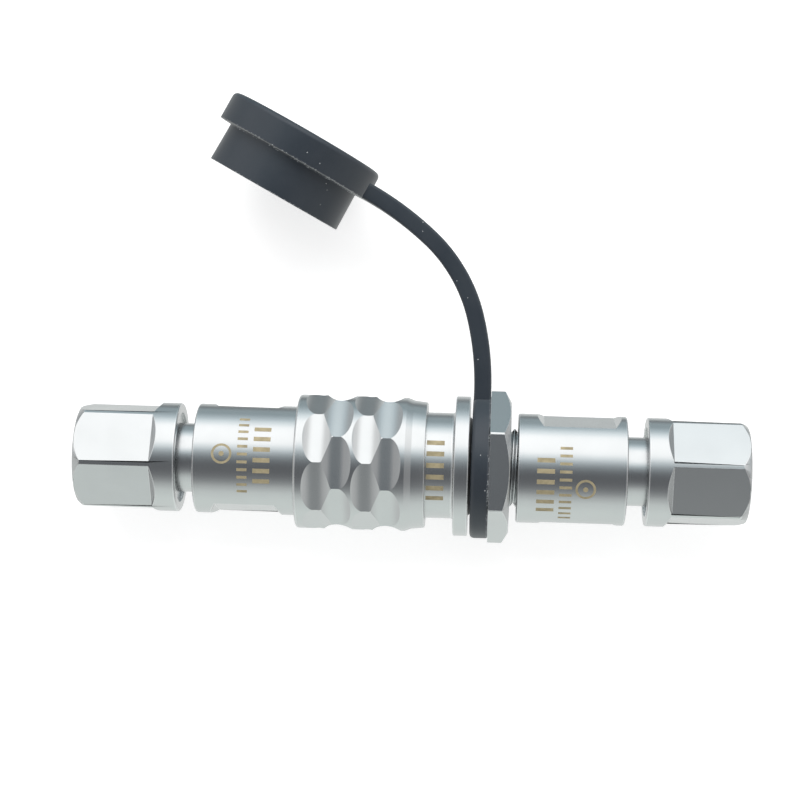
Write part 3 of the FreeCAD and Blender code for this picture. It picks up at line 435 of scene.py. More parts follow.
def hold_surfaces(piece, radii, dimples=(), dimple_radius=0.0):
    """Gives faces of turned rounds, of dimples and of flats the normals of the true surfaces, so that cuts
    leave no streaks. A dimple is the (middle, direction) of its cutter's own axis."""
    mesh = piece.data
    normals = [Vector(normal.vector) for normal in mesh.corner_normals]
    for face in mesh.polygons:
        points = [mesh.vertices[corner].co for corner in face.vertices]
        outs = [Vector((0, point.y, point.z)) for point in points]
        reach = math.hypot(face.center.y, face.center.z)
        across = [reach] + [out.length for out in outs]
        if abs(face.normal.x) < SQUARE_REACH and any(
                all(abs(value - radius) < ROUND_REACH for value in across) for radius in radii):
            sign = 1 if face.normal.dot(outs[0]) > 0 else -1
            for loop, out in zip(face.loop_indices, outs):
                normals[loop] = out.normalized() * sign
            continue
        for middle, way in dimples:
            if (face.center - middle).length > DIMPLE_HALF_WIDTH * MM + dimple_radius:
                continue
            inwards = [middle + way * (point - middle).dot(way) - point for point in points]
            if all(abs(span.length - dimple_radius) < DIMPLE_REACH for span in inwards):
                for loop, span in zip(face.loop_indices, inwards):
                    normals[loop] = span.normalized()
                break
        else:
            if face.area > FLAT_AREA:
                for loop in face.loop_indices:
                    normals[loop] = face.normal.copy()
    mesh.normals_split_custom_set(normals)


# Nodes

def math_node(tree, operation, first, second=None, clamp=False):
    """A Math node whose operands are sockets or plain numbers."""
    node = tree.nodes.new("ShaderNodeMath")
    node.operation = operation
    node.use_clamp = clamp
    for place, value in enumerate((first, second)):
        if value is None:
            continue
        if isinstance(value, (int, float)):
            node.inputs[place].default_value = value
        else:
            tree.links.new(value, node.inputs[place])
    return node.outputs["Value"]


# Geometry Nodes trees

def new_tree(name, inputs):
    """An empty Geometry Nodes tree with its named inputs, and its group input and output nodes."""
    tree = bpy.data.node_groups.new(name, "GeometryNodeTree")
    tree.interface.new_socket("Geometry", in_out="INPUT", socket_type="NodeSocketGeometry")
    for label, kind, default in inputs:
        socket = tree.interface.new_socket(label, in_out="INPUT", socket_type=f"NodeSocket{kind}")
        if default is not None:
            socket.default_value = default
    tree.interface.new_socket("Geometry", in_out="OUTPUT", socket_type="NodeSocketGeometry")
    return tree, tree.nodes.new("NodeGroupInput"), tree.nodes.new("NodeGroupOutput")


def end_tree(tree, geometry, start, end):
    """Every tree ends in real geometry with its material."""
    whole = tree.nodes.new("GeometryNodeRealizeInstances")
    finish = tree.nodes.new("GeometryNodeSetMaterial")
    tree.links.new(geometry, whole.inputs["Geometry"])
    tree.links.new(whole.outputs["Geometry"], finish.inputs["Geometry"])
    tree.links.new(start.outputs["Finish"], finish.inputs["Material"])
    tree.links.new(finish.outputs["Geometry"], end.inputs["Geometry"])
    return tree


def repeat_tree():
    """Copies of a shape turned about the X axis, a step apart."""
    tree, start, end = new_tree("Repeat about the axis", (
        ("Count", "Int", 6), ("First turn", "Float", 0.0), ("Step", "Float", 1.0),
        ("Finish", "Material", None)))
    link, add = tree.links.new, tree.nodes.new
    points = add("GeometryNodePoints")
    index = add("GeometryNodeInputIndex")
    turn = add("ShaderNodeMath")
    turn.operation = "MULTIPLY_ADD"
    about_x = add("ShaderNodeCombineXYZ")
    rotation = add("FunctionNodeEulerToRotation")
    copies = add("GeometryNodeInstanceOnPoints")
    link(start.outputs["Count"], points.inputs["Count"])
    link(index.outputs["Index"], turn.inputs[0])
    link(start.outputs["Step"], turn.inputs[1])
    link(start.outputs["First turn"], turn.inputs[2])
    link(turn.outputs["Value"], about_x.inputs["X"])
    link(about_x.outputs["Vector"], rotation.inputs["Euler"])
    link(points.outputs["Points"], copies.inputs["Points"])
    link(start.outputs["Geometry"], copies.inputs["Instance"])
    link(rotation.outputs["Rotation"], copies.inputs["Rotation"])
    return end_tree(tree, copies.outputs["Instances"], start, end)


def sweep_tree():
    """A rounded bar with a rectangular section, swept along a curve that lies in the XY plane."""
    tree, start, end = new_tree("Sweep a strap", (
        ("Thickness", "Float", 0.002), ("Width", "Float", 0.005), ("Rounding", "Float", 0.0003),
        ("Finish", "Material", None)))
    link, add = tree.links.new, tree.nodes.new
    upright = add("GeometryNodeSetCurveNormal")
    upright.mode = "Z_UP"
    section = add("GeometryNodeCurvePrimitiveQuadrilateral")
    corners = add("GeometryNodeFilletCurve")
    corners.mode = "POLY"
    corners.inputs["Count"].default_value = 3
    sweep = add("GeometryNodeCurveToMesh")
    sweep.inputs["Fill Caps"].default_value = True
    link(start.outputs["Geometry"], upright.inputs["Curve"])
    link(start.outputs["Thickness"], section.inputs["Width"])
    link(start.outputs["Width"], section.inputs["Height"])
    link(section.outputs["Curve"], corners.inputs["Curve"])
    link(start.outputs["Rounding"], corners.inputs["Radius"])
    link(upright.outputs["Curve"], sweep.inputs["Curve"])
    link(corners.outputs["Curve"], sweep.inputs["Profile Curve"])
    return end_tree(tree, sweep.outputs["Mesh"], start, end)


def thread_tree():
    """A screw thread's ridge, wound about the X axis from the origin onwards."""
    tree, start, end = new_tree("Wind a thread", (
        ("Pitch", "Float", 0.00075), ("Turns", "Float", 10.0), ("Middle radius", "Float", 0.004),
        ("Height", "Float", 0.0004), ("Finish", "Material", None)))
    link, add = tree.links.new, tree.nodes.new
    pitch = start.outputs["Pitch"]
    helix = add("GeometryNodeCurveSpiral")
    helix.inputs["Resolution"].default_value = THREAD_STEPS
    lay = add("GeometryNodeTransform")
    lay.inputs["Rotation"].default_value = (0, math.pi / 2, 0)
    section = add("GeometryNodeCurvePrimitiveQuadrilateral")
    section.mode = "TRAPEZOID"
    section.inputs["Offset"].default_value = 0.0
    crest_outwards = add("GeometryNodeTransform")
    crest_outwards.inputs["Rotation"].default_value = (0, 0, math.pi / 2)
    upright = add("GeometryNodeSetCurveNormal")
    upright.mode = "Z_UP"
    sweep = add("GeometryNodeCurveToMesh")
    sweep.inputs["Fill Caps"].default_value = True
    link(start.outputs["Turns"], helix.inputs["Rotations"])
    link(start.outputs["Middle radius"], helix.inputs["Start Radius"])
    link(start.outputs["Middle radius"], helix.inputs["End Radius"])
    link(math_node(tree, "MULTIPLY", pitch, start.outputs["Turns"]), helix.inputs["Height"])
    link(math_node(tree, "MULTIPLY", pitch, CREST_SHARE), section.inputs["Top Width"])
    link(math_node(tree, "MULTIPLY", pitch, FOOT_SHARE), section.inputs["Bottom Width"])
    link(start.outputs["Height"], section.inputs["Height"])
    link(helix.outputs["Curve"], upright.inputs["Curve"])
    link(upright.outputs["Curve"], sweep.inputs["Curve"])
    link(section.outputs["Curve"], crest_outwards.inputs["Geometry"])
    link(crest_outwards.outputs["Geometry"], sweep.inputs["Profile Curve"])
    link(sweep.outputs["Mesh"], lay.inputs["Geometry"])
    return end_tree(tree, lay.outputs["Geometry"], start, end)


def tree_named(name, build):
    """A tree or group of this name, built when it is first asked for."""
    return bpy.data.node_groups.get(name) or build()


def repeated(piece, count, first_turn, step, finish):
    """Copies of a piece about the X axis, the turns given in degrees."""
    tree = tree_named("Repeat about the axis", repeat_tree)
    return worked(piece, tree, **{"Count": count, "First turn": math.radians(first_turn),
                                  "Step": math.radians(step), "Finish": finish})


# Shader groups and materials

def shader_group(name, inputs, output):
    """An empty shader group with named value inputs and one named output, and its input and output nodes."""
    group = bpy.data.node_groups.new(name, "ShaderNodeTree")
    for label, default in inputs:
        socket = group.interface.new_socket(label, in_out="INPUT", socket_type="NodeSocketFloat")
        socket.default_value = default
    group.interface.new_socket(output, in_out="OUTPUT", socket_type="NodeSocketFloat")
    return group, group.nodes.new("NodeGroupInput"), group.nodes.new("NodeGroupOutput")


def noise(tree, vector, scale=None, detail=2.0, **settings):
    """A Noise Texture node that reads a vector socket."""
    node = tree.nodes.new("ShaderNodeTexNoise")
    if scale is not None:
        node.inputs["Scale"].default_value = scale
    node.inputs["Detail"].default_value = detail
    for name, value in settings.items():
        setattr(node, name, value)
    tree.links.new(vector, node.inputs["Vector"])
    return node


def lathe_group():
    """Fine rings left by turning, about the X axis on rounds and shoulders alike."""
    group, start, end = shader_group(
        "Turning lines", (("Lines per metre", 9000.0), ("Break-up", 0.35)), "Lines")
    link, add = group.links.new, group.nodes.new
    place = add("ShaderNodeTexCoord")
    parts = add("ShaderNodeSeparateXYZ")
    link(place.outputs["Object"], parts.inputs["Vector"])
    across = math_node(group, "POWER", parts.outputs["Y"], 2.0)
    up = math_node(group, "POWER", parts.outputs["Z"], 2.0)
    out = math_node(group, "SQRT", math_node(group, "ADD", across, up))
    rings = add("ShaderNodeCombineXYZ")
    often = start.outputs["Lines per metre"]
    link(math_node(group, "MULTIPLY", parts.outputs["X"], often), rings.inputs["X"])
    fainter = math_node(group, "MULTIPLY", out, SHOULDER_SHARE)
    link(math_node(group, "MULTIPLY", fainter, often), rings.inputs["Y"])
    fine = noise(group, rings.outputs["Vector"], 1.0, 3.0, noise_dimensions="2D")
    patches = noise(group, place.outputs["Object"], 420.0)
    mixed = math_node(group, "MULTIPLY", patches.outputs["Fac"], start.outputs["Break-up"])
    link(math_node(group, "ADD", fine.outputs["Fac"], mixed, clamp=True), end.inputs["Lines"])
    return group


def smudge_group():
    """Soft uneven patches, as handling leaves on a surface."""
    group, start, end = shader_group("Handling marks", (("Scale", 160.0), ("Contrast", 2.0)), "Marks")
    place = group.nodes.new("ShaderNodeTexCoord")
    cloud = noise(group, place.outputs["Object"], detail=4.0)
    cloud.inputs["Roughness"].default_value = 0.6
    group.links.new(start.outputs["Scale"], cloud.inputs["Scale"])
    centred = math_node(group, "SUBTRACT", cloud.outputs["Fac"], 0.5)
    raised = math_node(group, "MULTIPLY", centred, start.outputs["Contrast"])
    group.links.new(math_node(group, "ADD", raised, 0.5, clamp=True), end.inputs["Marks"])
    return group


def speck_group():
    """Scattered specks, denser in some places than in others: loose dust on the rubber, and painted highlight
    glints where they fall along rounded edges.
    """
    group, start, end = shader_group(
        "Dust and glint specks", (("Scale", 2600.0), ("Size", 0.16), ("Rarity", 1.3)), "Specks")
    link, add = group.links.new, group.nodes.new
    place = add("ShaderNodeTexCoord")
    cells = add("ShaderNodeTexVoronoi")
    link(place.outputs["Object"], cells.inputs["Vector"])
    link(start.outputs["Scale"], cells.inputs["Scale"])
    drift = noise(group, place.outputs["Object"], 300.0)
    parts = add("ShaderNodeSeparateColor")
    link(cells.outputs["Color"], parts.inputs["Color"])
    near = math_node(group, "LESS_THAN", cells.outputs["Distance"], start.outputs["Size"])
    chance = math_node(group, "ADD", parts.outputs["Red"], drift.outputs["Fac"])
    kept = math_node(group, "GREATER_THAN", chance, start.outputs["Rarity"])
    link(math_node(group, "MULTIPLY", near, kept), end.inputs["Specks"])
    return group


def edge_highlight_group():
    """A painted highlight along rounded edges, broken up so that it is not one even line."""
    group, start, end = shader_group("Painted edge highlight", (("Amount", 1.0),), "Painted highlight")
    edge = group.nodes.new("ShaderNodeAttribute")
    edge.attribute_name = "edge"
    place = group.nodes.new("ShaderNodeTexCoord")
    patches = noise(group, place.outputs["Object"], 900.0, 3.0)
    uneven = math_node(group, "ADD", patches.outputs["Fac"], 0.3)
    broken = math_node(group, "MULTIPLY", edge.outputs["Fac"], uneven)
    lit_edges = math_node(group, "MULTIPLY", broken, start.outputs["Amount"], clamp=True)
    group.links.new(lit_edges, end.inputs["Painted highlight"])
    return group


GROUPS = {"Turning lines": lathe_group, "Handling marks": smudge_group, "Dust and glint specks": speck_group,
          "Painted edge highlight": edge_highlight_group}


class Finish:
    """A material in the making: its shader and the masks that its look is mixed from."""

    def __init__(self, name, base, metallic, roughness):
        self.material = bpy.data.materials.new(name)
        self.material.use_nodes = True
        self.tree = self.material.node_tree
        self.shader = self.tree.nodes["Principled BSDF"]
        self.shader.inputs["Metallic"].default_value = metallic
        self.shader.inputs["Roughness"].default_value = roughness
        self.roughness = roughness
        self.shader.inputs["Base Color"].default_value = (*base, 1)
        self.material.diffuse_color = (*base, 1)
        self.base = tuple(base)

    def mask(self, group, **values):
        """Places a shared group with this material's own values and returns its one output, a mask."""
        node = self.tree.nodes.new("ShaderNodeGroup")
        node.node_tree = tree_named(group, GROUPS[group])
        for label, value in values.items():
            node.inputs[label].default_value = value
        return node.outputs[0]

    def tint(self, mask, other, share, colour=None):
        """Mixes the colour towards another where a mask is high, and returns the mixed colour."""
        mix = self.tree.nodes.new("ShaderNodeMix")
        mix.data_type = "RGBA"
        self.tree.links.new(math_node(self.tree, "MULTIPLY", mask, share), mix.inputs["Factor"])
        if colour is None:
            mix.inputs[FIRST_COLOUR].default_value = (*self.base, 1)
        else:
            self.tree.links.new(colour, mix.inputs[FIRST_COLOUR])
        mix.inputs[SECOND_COLOUR].default_value = (*other, 1)
        return mix.outputs[MIXED_COLOUR]

    def roughen(self, *parts):
        """Adds masks to the roughness, each as (mask, share)."""
        total = self.roughness
        for mask, share in parts:
            total = math_node(self.tree, "ADD", math_node(self.tree, "MULTIPLY", mask, share), total)
        self.tree.links.new(total, self.shader.inputs["Roughness"])

    def paint(self, colour):
        """Takes a mixed colour as the shader's own."""
        self.tree.links.new(colour, self.shader.inputs["Base Color"])

    def bump(self, height, distance, strength):
        """Raises the surface by a mask, at most by a distance in metres."""
        node = self.tree.nodes.new("ShaderNodeBump")
        node.inputs["Strength"].default_value = strength
        node.inputs["Distance"].default_value = distance
        self.tree.links.new(height, node.inputs["Height"])
        self.tree.links.new(node.outputs["Normal"], self.shader.inputs["Normal"])


def lighter(base, share):
    """A colour mixed towards white."""
    return tuple(value + (1 - value) * share for value in base)


def darker(base, share):
    """A colour mixed towards black."""
    return tuple(value * (1 - share) for value in base)


def plating(name, base, roughness):
    """Satin plating over turned metal."""
    finish = Finish(name, base, 1.0, roughness)
    lines = finish.mask("Turning lines", **{"Lines per metre": 11000.0, "Break-up": 0.3})
    marks = finish.mask("Handling marks", Scale=190.0, Contrast=1.6)
    # Painted highlight: the plating's colour is lightened along rounded edges, in place of the light they
    # catch.
    lit_edges = finish.mask("Painted edge highlight", Amount=1.0)
    colour = finish.tint(marks, darker(base, 0.12), 0.5)
    finish.paint(finish.tint(lit_edges, lighter(base, 0.5), 0.6, colour))
    finish.roughen((lines, 0.06), (marks, 0.05), (lit_edges, 0.05))
    finish.bump(lines, 1.5e-6, 0.12)
    return finish.material


def rubber(name, base, roughness):
    """Moulded rubber with a faint bloom, a painted highlight along its rounded edges partly broken into light
    specks, and a few loose specks of dust.
    """
    finish = Finish(name, base, 0.0, roughness)
    marks = finish.mask("Handling marks", Scale=240.0, Contrast=2.2)
    specks = finish.mask("Dust and glint specks", Scale=1500.0, Size=0.1, Rarity=1.42)
    # Painted highlight: light grey specks along the rounded edges stand in for glints there. The loose specks
    # are dust.
    glint_specks = finish.mask("Dust and glint specks", Scale=5200.0, Size=0.42, Rarity=1.0)
    # Painted highlight: the rubber's colour is lightened along rounded edges, in place of the light they
    # catch.
    lit_edges = finish.mask("Painted edge highlight", Amount=1.0)
    speckled_highlight = math_node(finish.tree, "MULTIPLY", lit_edges, glint_specks)
    colour = finish.tint(marks, lighter(base, 0.012), 0.8)
    colour = finish.tint(lit_edges, lighter(base, 0.06), 0.6, colour)
    colour = finish.tint(speckled_highlight, (0.5, 0.53, 0.54), 0.8, colour)
    finish.paint(finish.tint(specks, (0.6, 0.62, 0.63), 0.8, colour))
    finish.roughen((marks, 0.1), (specks, 0.3), (speckled_highlight, 0.3))
    finish.bump(marks, 1.5e-5, 0.2)
    return finish.material


def moulded(name, base, roughness):
    """Moulded plastic with a fine spark-eroded grain."""
    finish = Finish(name, base, 0.0, roughness)
    grain = finish.mask("Handling marks", Scale=3800.0, Contrast=2.4)
    marks = finish.mask("Handling marks", Scale=260.0, Contrast=1.6)
    finish.paint(finish.tint(marks, lighter(base, 0.05), 0.6))
    finish.roughen((grain, 0.1), (marks, 0.08))
    finish.bump(grain, 8e-6, 0.35)
    return finish.material


def etched(name, base):
    """The dull tan that a laser leaves on plating."""
    finish = Finish(name, base, 0.35, 0.5)
    marks = finish.mask("Handling marks", Scale=1400.0, Contrast=2.2)
    finish.paint(finish.tint(marks, darker(base, 0.45), 0.7))
    finish.roughen((marks, 0.2),)
    finish.bump(marks, 4e-6, 0.4)
    return finish.material


def finish_named(name):
    """One of the object's finishes, made when it is first asked for."""
    made = bpy.data.materials.get(name)
    if made:
        return made
    colours = bpy.context.scene.connector_finishes
    return {
        "satin_plate": lambda: plating(name, colours.plate, 0.17),
        "brass": lambda: plating(name, colours.brass, 0.24),
        "spring_steel": lambda: plating(name, colours.steel, 0.26),
        "gold": lambda: plating(name, colours.gold, 0.16),
        "insulator": lambda: moulded(name, colours.insulator, 0.42),
        "cap_rubber": lambda: rubber(name, colours.rubber, 0.33),
        "seal_rubber": lambda: rubber(name, colours.seal, 0.5),
        "etched_tan": lambda: etched(name, colours.mark),
    }[name]()


def dress(piece, finish, body, replaces=None):
    """Gives a finished piece its material and its body, and hides the node that it stands for."""
    piece.data.materials.clear()
    piece.data.materials.append(finish_named(finish))
    for face in piece.data.polygons:
        face.material_index = 0
    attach(piece, body)
    if replaces:
        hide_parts(replaces)


def flat_cutters(start, end, radius, depth, ramp, turn, count):
    """Cutters for flats milled into a round. Each end of a flat slopes, by ramp along for one out."""
    run = ramp * depth * 2
    outline = ((start, radius - depth), (end, radius - depth),
               (end + run, radius + depth), (start - run, radius + depth))
    one = prism("flat_cutter", outline, radius)
    return repeated(one, count, -turn, 360 / count, finish_named("satin_plate"))


class CONNECTOR_OT_clamp_nuts(bpy.types.Operator):
    """Turns both clamp nuts and mills their hexagons"""

    bl_idname = "connector.clamp_nuts"
    bl_label = "Clamp nuts"

    def execute(self, context):
        sizes = context.scene.connector_sizes
        radius = NUT_RADIUS * MM
        depth = radius - sizes.nut_across / 2
        for half, at, way, turn in (
                ("plug", PLUG_NUT_X, -1, PLUG_NUT_TURN), ("socket", SOCKET_NUT_X, 1, SOCKET_NUT_TURN)):
            line = eased(NUT_OUTLINE, sizes.edge_round)
            nut = turned(f"{half}_nut", [(at * MM + way * along, out) for along, out in line])
            near, far = sorted(at * MM + way * along * MM for along in NUT_FLATS)
            cutters = flat_cutters(near, far, radius, depth, NUT_RAMP, turn, NUT_SIDES)
            joined_by(nut, "DIFFERENCE", [cutters])
            finished(nut, sizes.cut_edge)
            hold_surfaces(nut, [radius])
            dress(nut, "satin_plate", f"{half}_nut", f"{half}_clamp_nut")
        return {"FINISHED"}


class CONNECTOR_OT_back_shells(bpy.types.Operator):
    """Turns both rear shells and mills their flats"""

    bl_idname = "connector.back_shells"
    bl_label = "Rear shells"

    def execute(self, context):
        sizes = context.scene.connector_sizes
        radius = SHELL_RADIUS * MM
        for half, outline, (start, end), turn in (
                ("plug", PLUG_SHELL_OUTLINE, PLUG_SHELL_FLATS, PLUG_FLAT_TURN),
                ("socket", SOCKET_SHELL_OUTLINE, SOCKET_SHELL_FLATS, SOCKET_FLAT_TURN)):
            shell = turned(f"{half}_rear_shell", eased(outline, sizes.edge_round))
            cutters = flat_cutters(start * MM, end * MM, radius, sizes.shell_flat, SHELL_RAMP, turn,
                                   SHELL_SIDES)
            joined_by(shell, "DIFFERENCE", [cutters])
            finished(shell, sizes.cut_edge)
            hold_surfaces(shell, [radius])
            dress(shell, "satin_plate", half, f"{half}_back_shell")
        return {"FINISHED"}


class CONNECTOR_OT_coupling_sleeve(bpy.types.Operator):
    """Turns the coupling sleeve and mills its staggered dimples"""

    bl_idname = "connector.coupling_sleeve"
    bl_label = "Coupling sleeve"

    def execute(self, context):
        sizes = context.scene.connector_sizes
        sleeve = turned("dimpled_sleeve", eased(SLEEVE_OUTLINE, sizes.edge_round))
        radius, count = sizes.dimple_radius, sizes.dimple_count
        middle = SLEEVE_RADIUS * MM - sizes.dimple_depth + radius
        ways = [2 * math.pi * (step + 0.5) / DIMPLE_STEPS for step in range(DIMPLE_STEPS)]
        cutters, dimples = [], []
        for along, first in DIMPLE_ROWS:
            outline = [(along * MM + radius * math.cos(way), middle + radius * math.sin(way)) for way in ways]
            one = prism("dimple_cutter", outline, DIMPLE_HALF_WIDTH * MM)
            cutters.append(repeated(one, count, -first, 360 / count, finish_named("satin_plate")))
            for place in range(count):
                turn = math.radians(first + 360 * place / count)
                up = Vector((0, math.sin(turn), math.cos(turn)))
                dimples.append((up * middle + Vector((along * MM, 0, 0)), Vector((0, up.z, -up.y))))
        joined_by(sleeve, "DIFFERENCE", cutters)
        finished(sleeve)
        hold_surfaces(sleeve, [SLEEVE_RADIUS * MM], dimples, radius)
        dress(sleeve, "satin_plate", "sleeve", "coupling_sleeve")
        return {"FINISHED"}


class CONNECTOR_OT_socket_shell(bpy.types.Operator):
    """Turns the socket's nose, flange and tail, with its key and its panel thread"""

    bl_idname = "connector.socket_shell"
    bl_label = "Socket shell"

    def execute(self, context):
        sizes = context.scene.connector_sizes
        shell = turned("socket_body", eased(SOCKET_OUTLINE, sizes.edge_round))
        key = prism("socket_key", [(x * MM, z * MM) for x, z in KEY_OUTLINE], KEY_HALF_WIDTH * MM)
        key.data.transform(Matrix.Rotation(-math.pi / 2, 4, "X"))
        joined_by(shell, "UNION", [key])
        finished(shell)
        dress(shell, "satin_plate", "socket", "socket_shell")
        seed = bpy.data.meshes.new("socket_thread")
        ridge = worked(shown("socket_thread", seed), tree_named("Wind a thread", thread_tree), **{
            "Pitch": sizes.thread_pitch, "Turns": THREAD_LENGTH * MM / sizes.thread_pitch,
            "Middle radius": (THREAD_ROOT - THREAD_SINK) * MM + sizes.thread_height / 2,
            "Height": sizes.thread_height, "Finish": finish_named("satin_plate")})
        ridge.data.transform(Matrix.Translation((THREAD_START * MM, 0, 0)))
        finished(ridge)
        dress(ridge, "satin_plate", "socket")
        return {"FINISHED"}


class CONNECTOR_OT_panel_nut(bpy.types.Operator):
    """Turns the panel nut and mills its hexagon"""

    bl_idname = "connector.panel_nut"
    bl_label = "Panel nut"

    def execute(self, context):
        sizes = context.scene.connector_sizes
        radius = PANEL_NUT_RADIUS * MM
        nut = turned("panel_hex_nut", eased(PANEL_NUT_OUTLINE, sizes.edge_round))
        depth = radius - sizes.panel_nut_across / 2
        start, end = (along * MM for along in PANEL_NUT_FLATS)
        cutters = flat_cutters(start, end, radius, depth, 0.0, PANEL_NUT_TURN, NUT_SIDES)
        joined_by(nut, "DIFFERENCE", [cutters])
        finished(nut, sizes.cut_edge)
        hold_surfaces(nut, [radius])
        dress(nut, "satin_plate", "panel_nut", "panel_nut")
        return {"FINISHED"}


def strap_points():
    """The strap's middle line as points in millimetres."""
    points = [STRAP_ROOT, STRAP_START]
    x, y = STRAP_START
    turn = 0.0
    for radius, angle in STRAP_ARCS:
        here = math.radians(turn)
        middle = (x - radius * math.cos(here), y - radius * math.sin(here))
        steps = round(angle / STRAP_STEP)
        for step in range(1, steps + 1):
            now = math.radians(turn + angle * step / steps)
            points.append((middle[0] + radius * math.cos(now), middle[1] + radius * math.sin(now)))
        turn += angle
        x, y = points[-1]
    turn = math.radians(turn)
    points.append((x - STRAP_END_ROOT * math.sin(turn), y + STRAP_END_ROOT * math.cos(turn)))
    return points


class CONNECTOR_OT_dust_cap(bpy.types.Operator):
    """Moulds the tether ring, the strap and the dust cap as one rubber piece"""

    bl_idname = "connector.dust_cap"
    bl_label = "Dust cap"

    def execute(self, context):
        sizes = context.scene.connector_sizes
        points = strap_points()
        line = bpy.data.curves.new("strap", "CURVE")
        line.dimensions = "3D"
        run = line.splines.new("POLY")
        run.points.add(len(points) - 1)
        for point, (x, y) in zip(run.points, points):
            point.co = (x * MM, y * MM, 0, 1)
        strap = worked(shown("strap", line), tree_named("Sweep a strap", sweep_tree), **{
            "Thickness": sizes.strap_thick, "Width": sizes.strap_width, "Rounding": STRAP_ROUND * MM,
            "Finish": finish_named("cap_rubber")})
        outwards = Matrix.Rotation(math.radians(CAP_TURN + 180), 4, "Z")
        face = Matrix.Translation((CAP_MIDDLE[0] * MM, CAP_MIDDLE[1] * MM, 0))
        cap = turned("cap", eased(CAP_OUTLINE, CAP_ROUND * MM), RUBBER_STEPS, face @ outwards)
        ring = turned("tethered_cap", eased(TETHER_OUTLINE, TETHER_ROUND * MM), RUBBER_STEPS)
        joined_by(ring, "UNION", [strap, cap])
        ring.data.transform(Matrix.Rotation(math.radians(CAP_LIFT), 4, "X"))
        finished(ring)
        ring.visible_glossy = False
        dress(ring, "cap_rubber", "tether", "dust_cap")
        return {"FINISHED"}


def on_round(bm, x, turn, out):
    """A new point at this turn, in radians, from straight up towards +Y."""
    return bm.verts.new((x, out * math.sin(turn), out * math.cos(turn)))


def patch(bm, places, radius, height):
    """A thin closed plate on a round, from a grid of (x, turn) places in rows."""
    low, high = ([[on_round(bm, x, turn, out) for x, turn in row] for row in places]
                 for out in (radius - height, radius + height))
    rows, columns = len(places), len(places[0])
    for row in range(rows - 1):
        for column in range(columns - 1):
            corners = ((row, column), (row, column + 1), (row + 1, column + 1), (row + 1, column))
            bm.faces.new([high[a][b] for a, b in corners])
            bm.faces.new([low[a][b] for a, b in reversed(corners)])
    rim = [(0, column) for column in range(columns)]
    rim += [(row, columns - 1) for row in range(1, rows)]
    rim += [(rows - 1, column) for column in range(columns - 2, -1, -1)]
    rim += [(row, 0) for row in range(rows - 2, 0, -1)]
    band(bm, [low[row][column] for row, column in rim], [high[row][column] for row, column in rim])


def ring_mark(bm, x, turn, radius, line, round_radius, height):
    """A ring with a dot in it, laid on a round."""
    ways = [2 * math.pi * step / MARK_STEPS for step in range(MARK_STEPS)]
    for outer, inner in ((radius, radius - line), (line * DOT_SHARE, 0.0)):
        loops = []
        for out in (round_radius - height, round_radius + height):
            for reach in (outer, inner):
                if reach:
                    loops.append([on_round(bm, x + reach * math.cos(way),
                                           turn + reach * math.sin(way) / round_radius, out) for way in ways])
                else:
                    loops.append([on_round(bm, x, turn, out)] * MARK_STEPS)
        low_out, low_in, high_out, high_in = loops
        for near, far in ((low_out, low_in), (high_out, high_in), (low_out, high_out), (low_in, high_in)):
            band(bm, near, far)


class CONNECTOR_OT_etched_marks(bpy.types.Operator):
    """Lays the etched ticks and round marks on the plating"""

    bl_idname = "connector.etched_marks"
    bl_label = "Etched marks"

    def execute(self, context):
        sizes = context.scene.connector_sizes
        tan = finish_named("etched_tan")
        for name, (body, radius, rows) in MARK_ROWS.items():
            whole = bmesh.new()
            for start, end, first, last, count, filled in rows:
                pitch = math.radians(last - first) / (count - 1 + filled)
                half = abs(pitch) * filled / 2
                one = bmesh.new()
                patch(one, [[(start * MM, turn), (end * MM, turn)] for turn in (-half, 0.0, half)],
                      radius * MM, sizes.mark_height)
                bars = repeated(mesh_of("bar", one), count, -(first + math.degrees(pitch) * filled / 2),
                                -math.degrees(pitch), tan)
                whole.from_mesh(bars.data)
                bpy.data.objects.remove(bars)
            for owner, x, turn, mark_radius, line in ROUND_MARKS:
                if owner == name:
                    ring_mark(whole, x * MM, math.radians(turn), mark_radius * MM, line * MM,
                              radius * MM, sizes.mark_height)
            marks = mesh_of(name, whole)
            finished(marks)
            dress(marks, "etched_tan", body)
        return {"FINISHED"}


class CONNECTOR_OT_inner_parts(bpy.types.Operator):
    """Gives the inner parts, which keep their own shapes, their finishes"""

    bl_idname = "connector.inner_parts"
    bl_label = "Inner parts"

    def execute(self, context):
        for finish, nodes in INNER_FINISHES.items():
            for node in nodes:
                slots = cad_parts[node].data.materials
                for place in range(len(slots)):
                    slots[place] = finish_named(finish)
                if not slots:
                    slots.append(finish_named(finish))
        return {"FINISHED"}


def background_rays(tree):
    """1 for the rays that should see a plain white background, and 0 for the others."""
    rays = tree.nodes.new("ShaderNodeLightPath").outputs
    mirrored = math_node(tree, "MAXIMUM", rays["Is Glossy Ray"], rays["Is Transmission Ray"])
    return math_node(tree, "MAXIMUM", rays["Is Camera Ray"], mirrored)


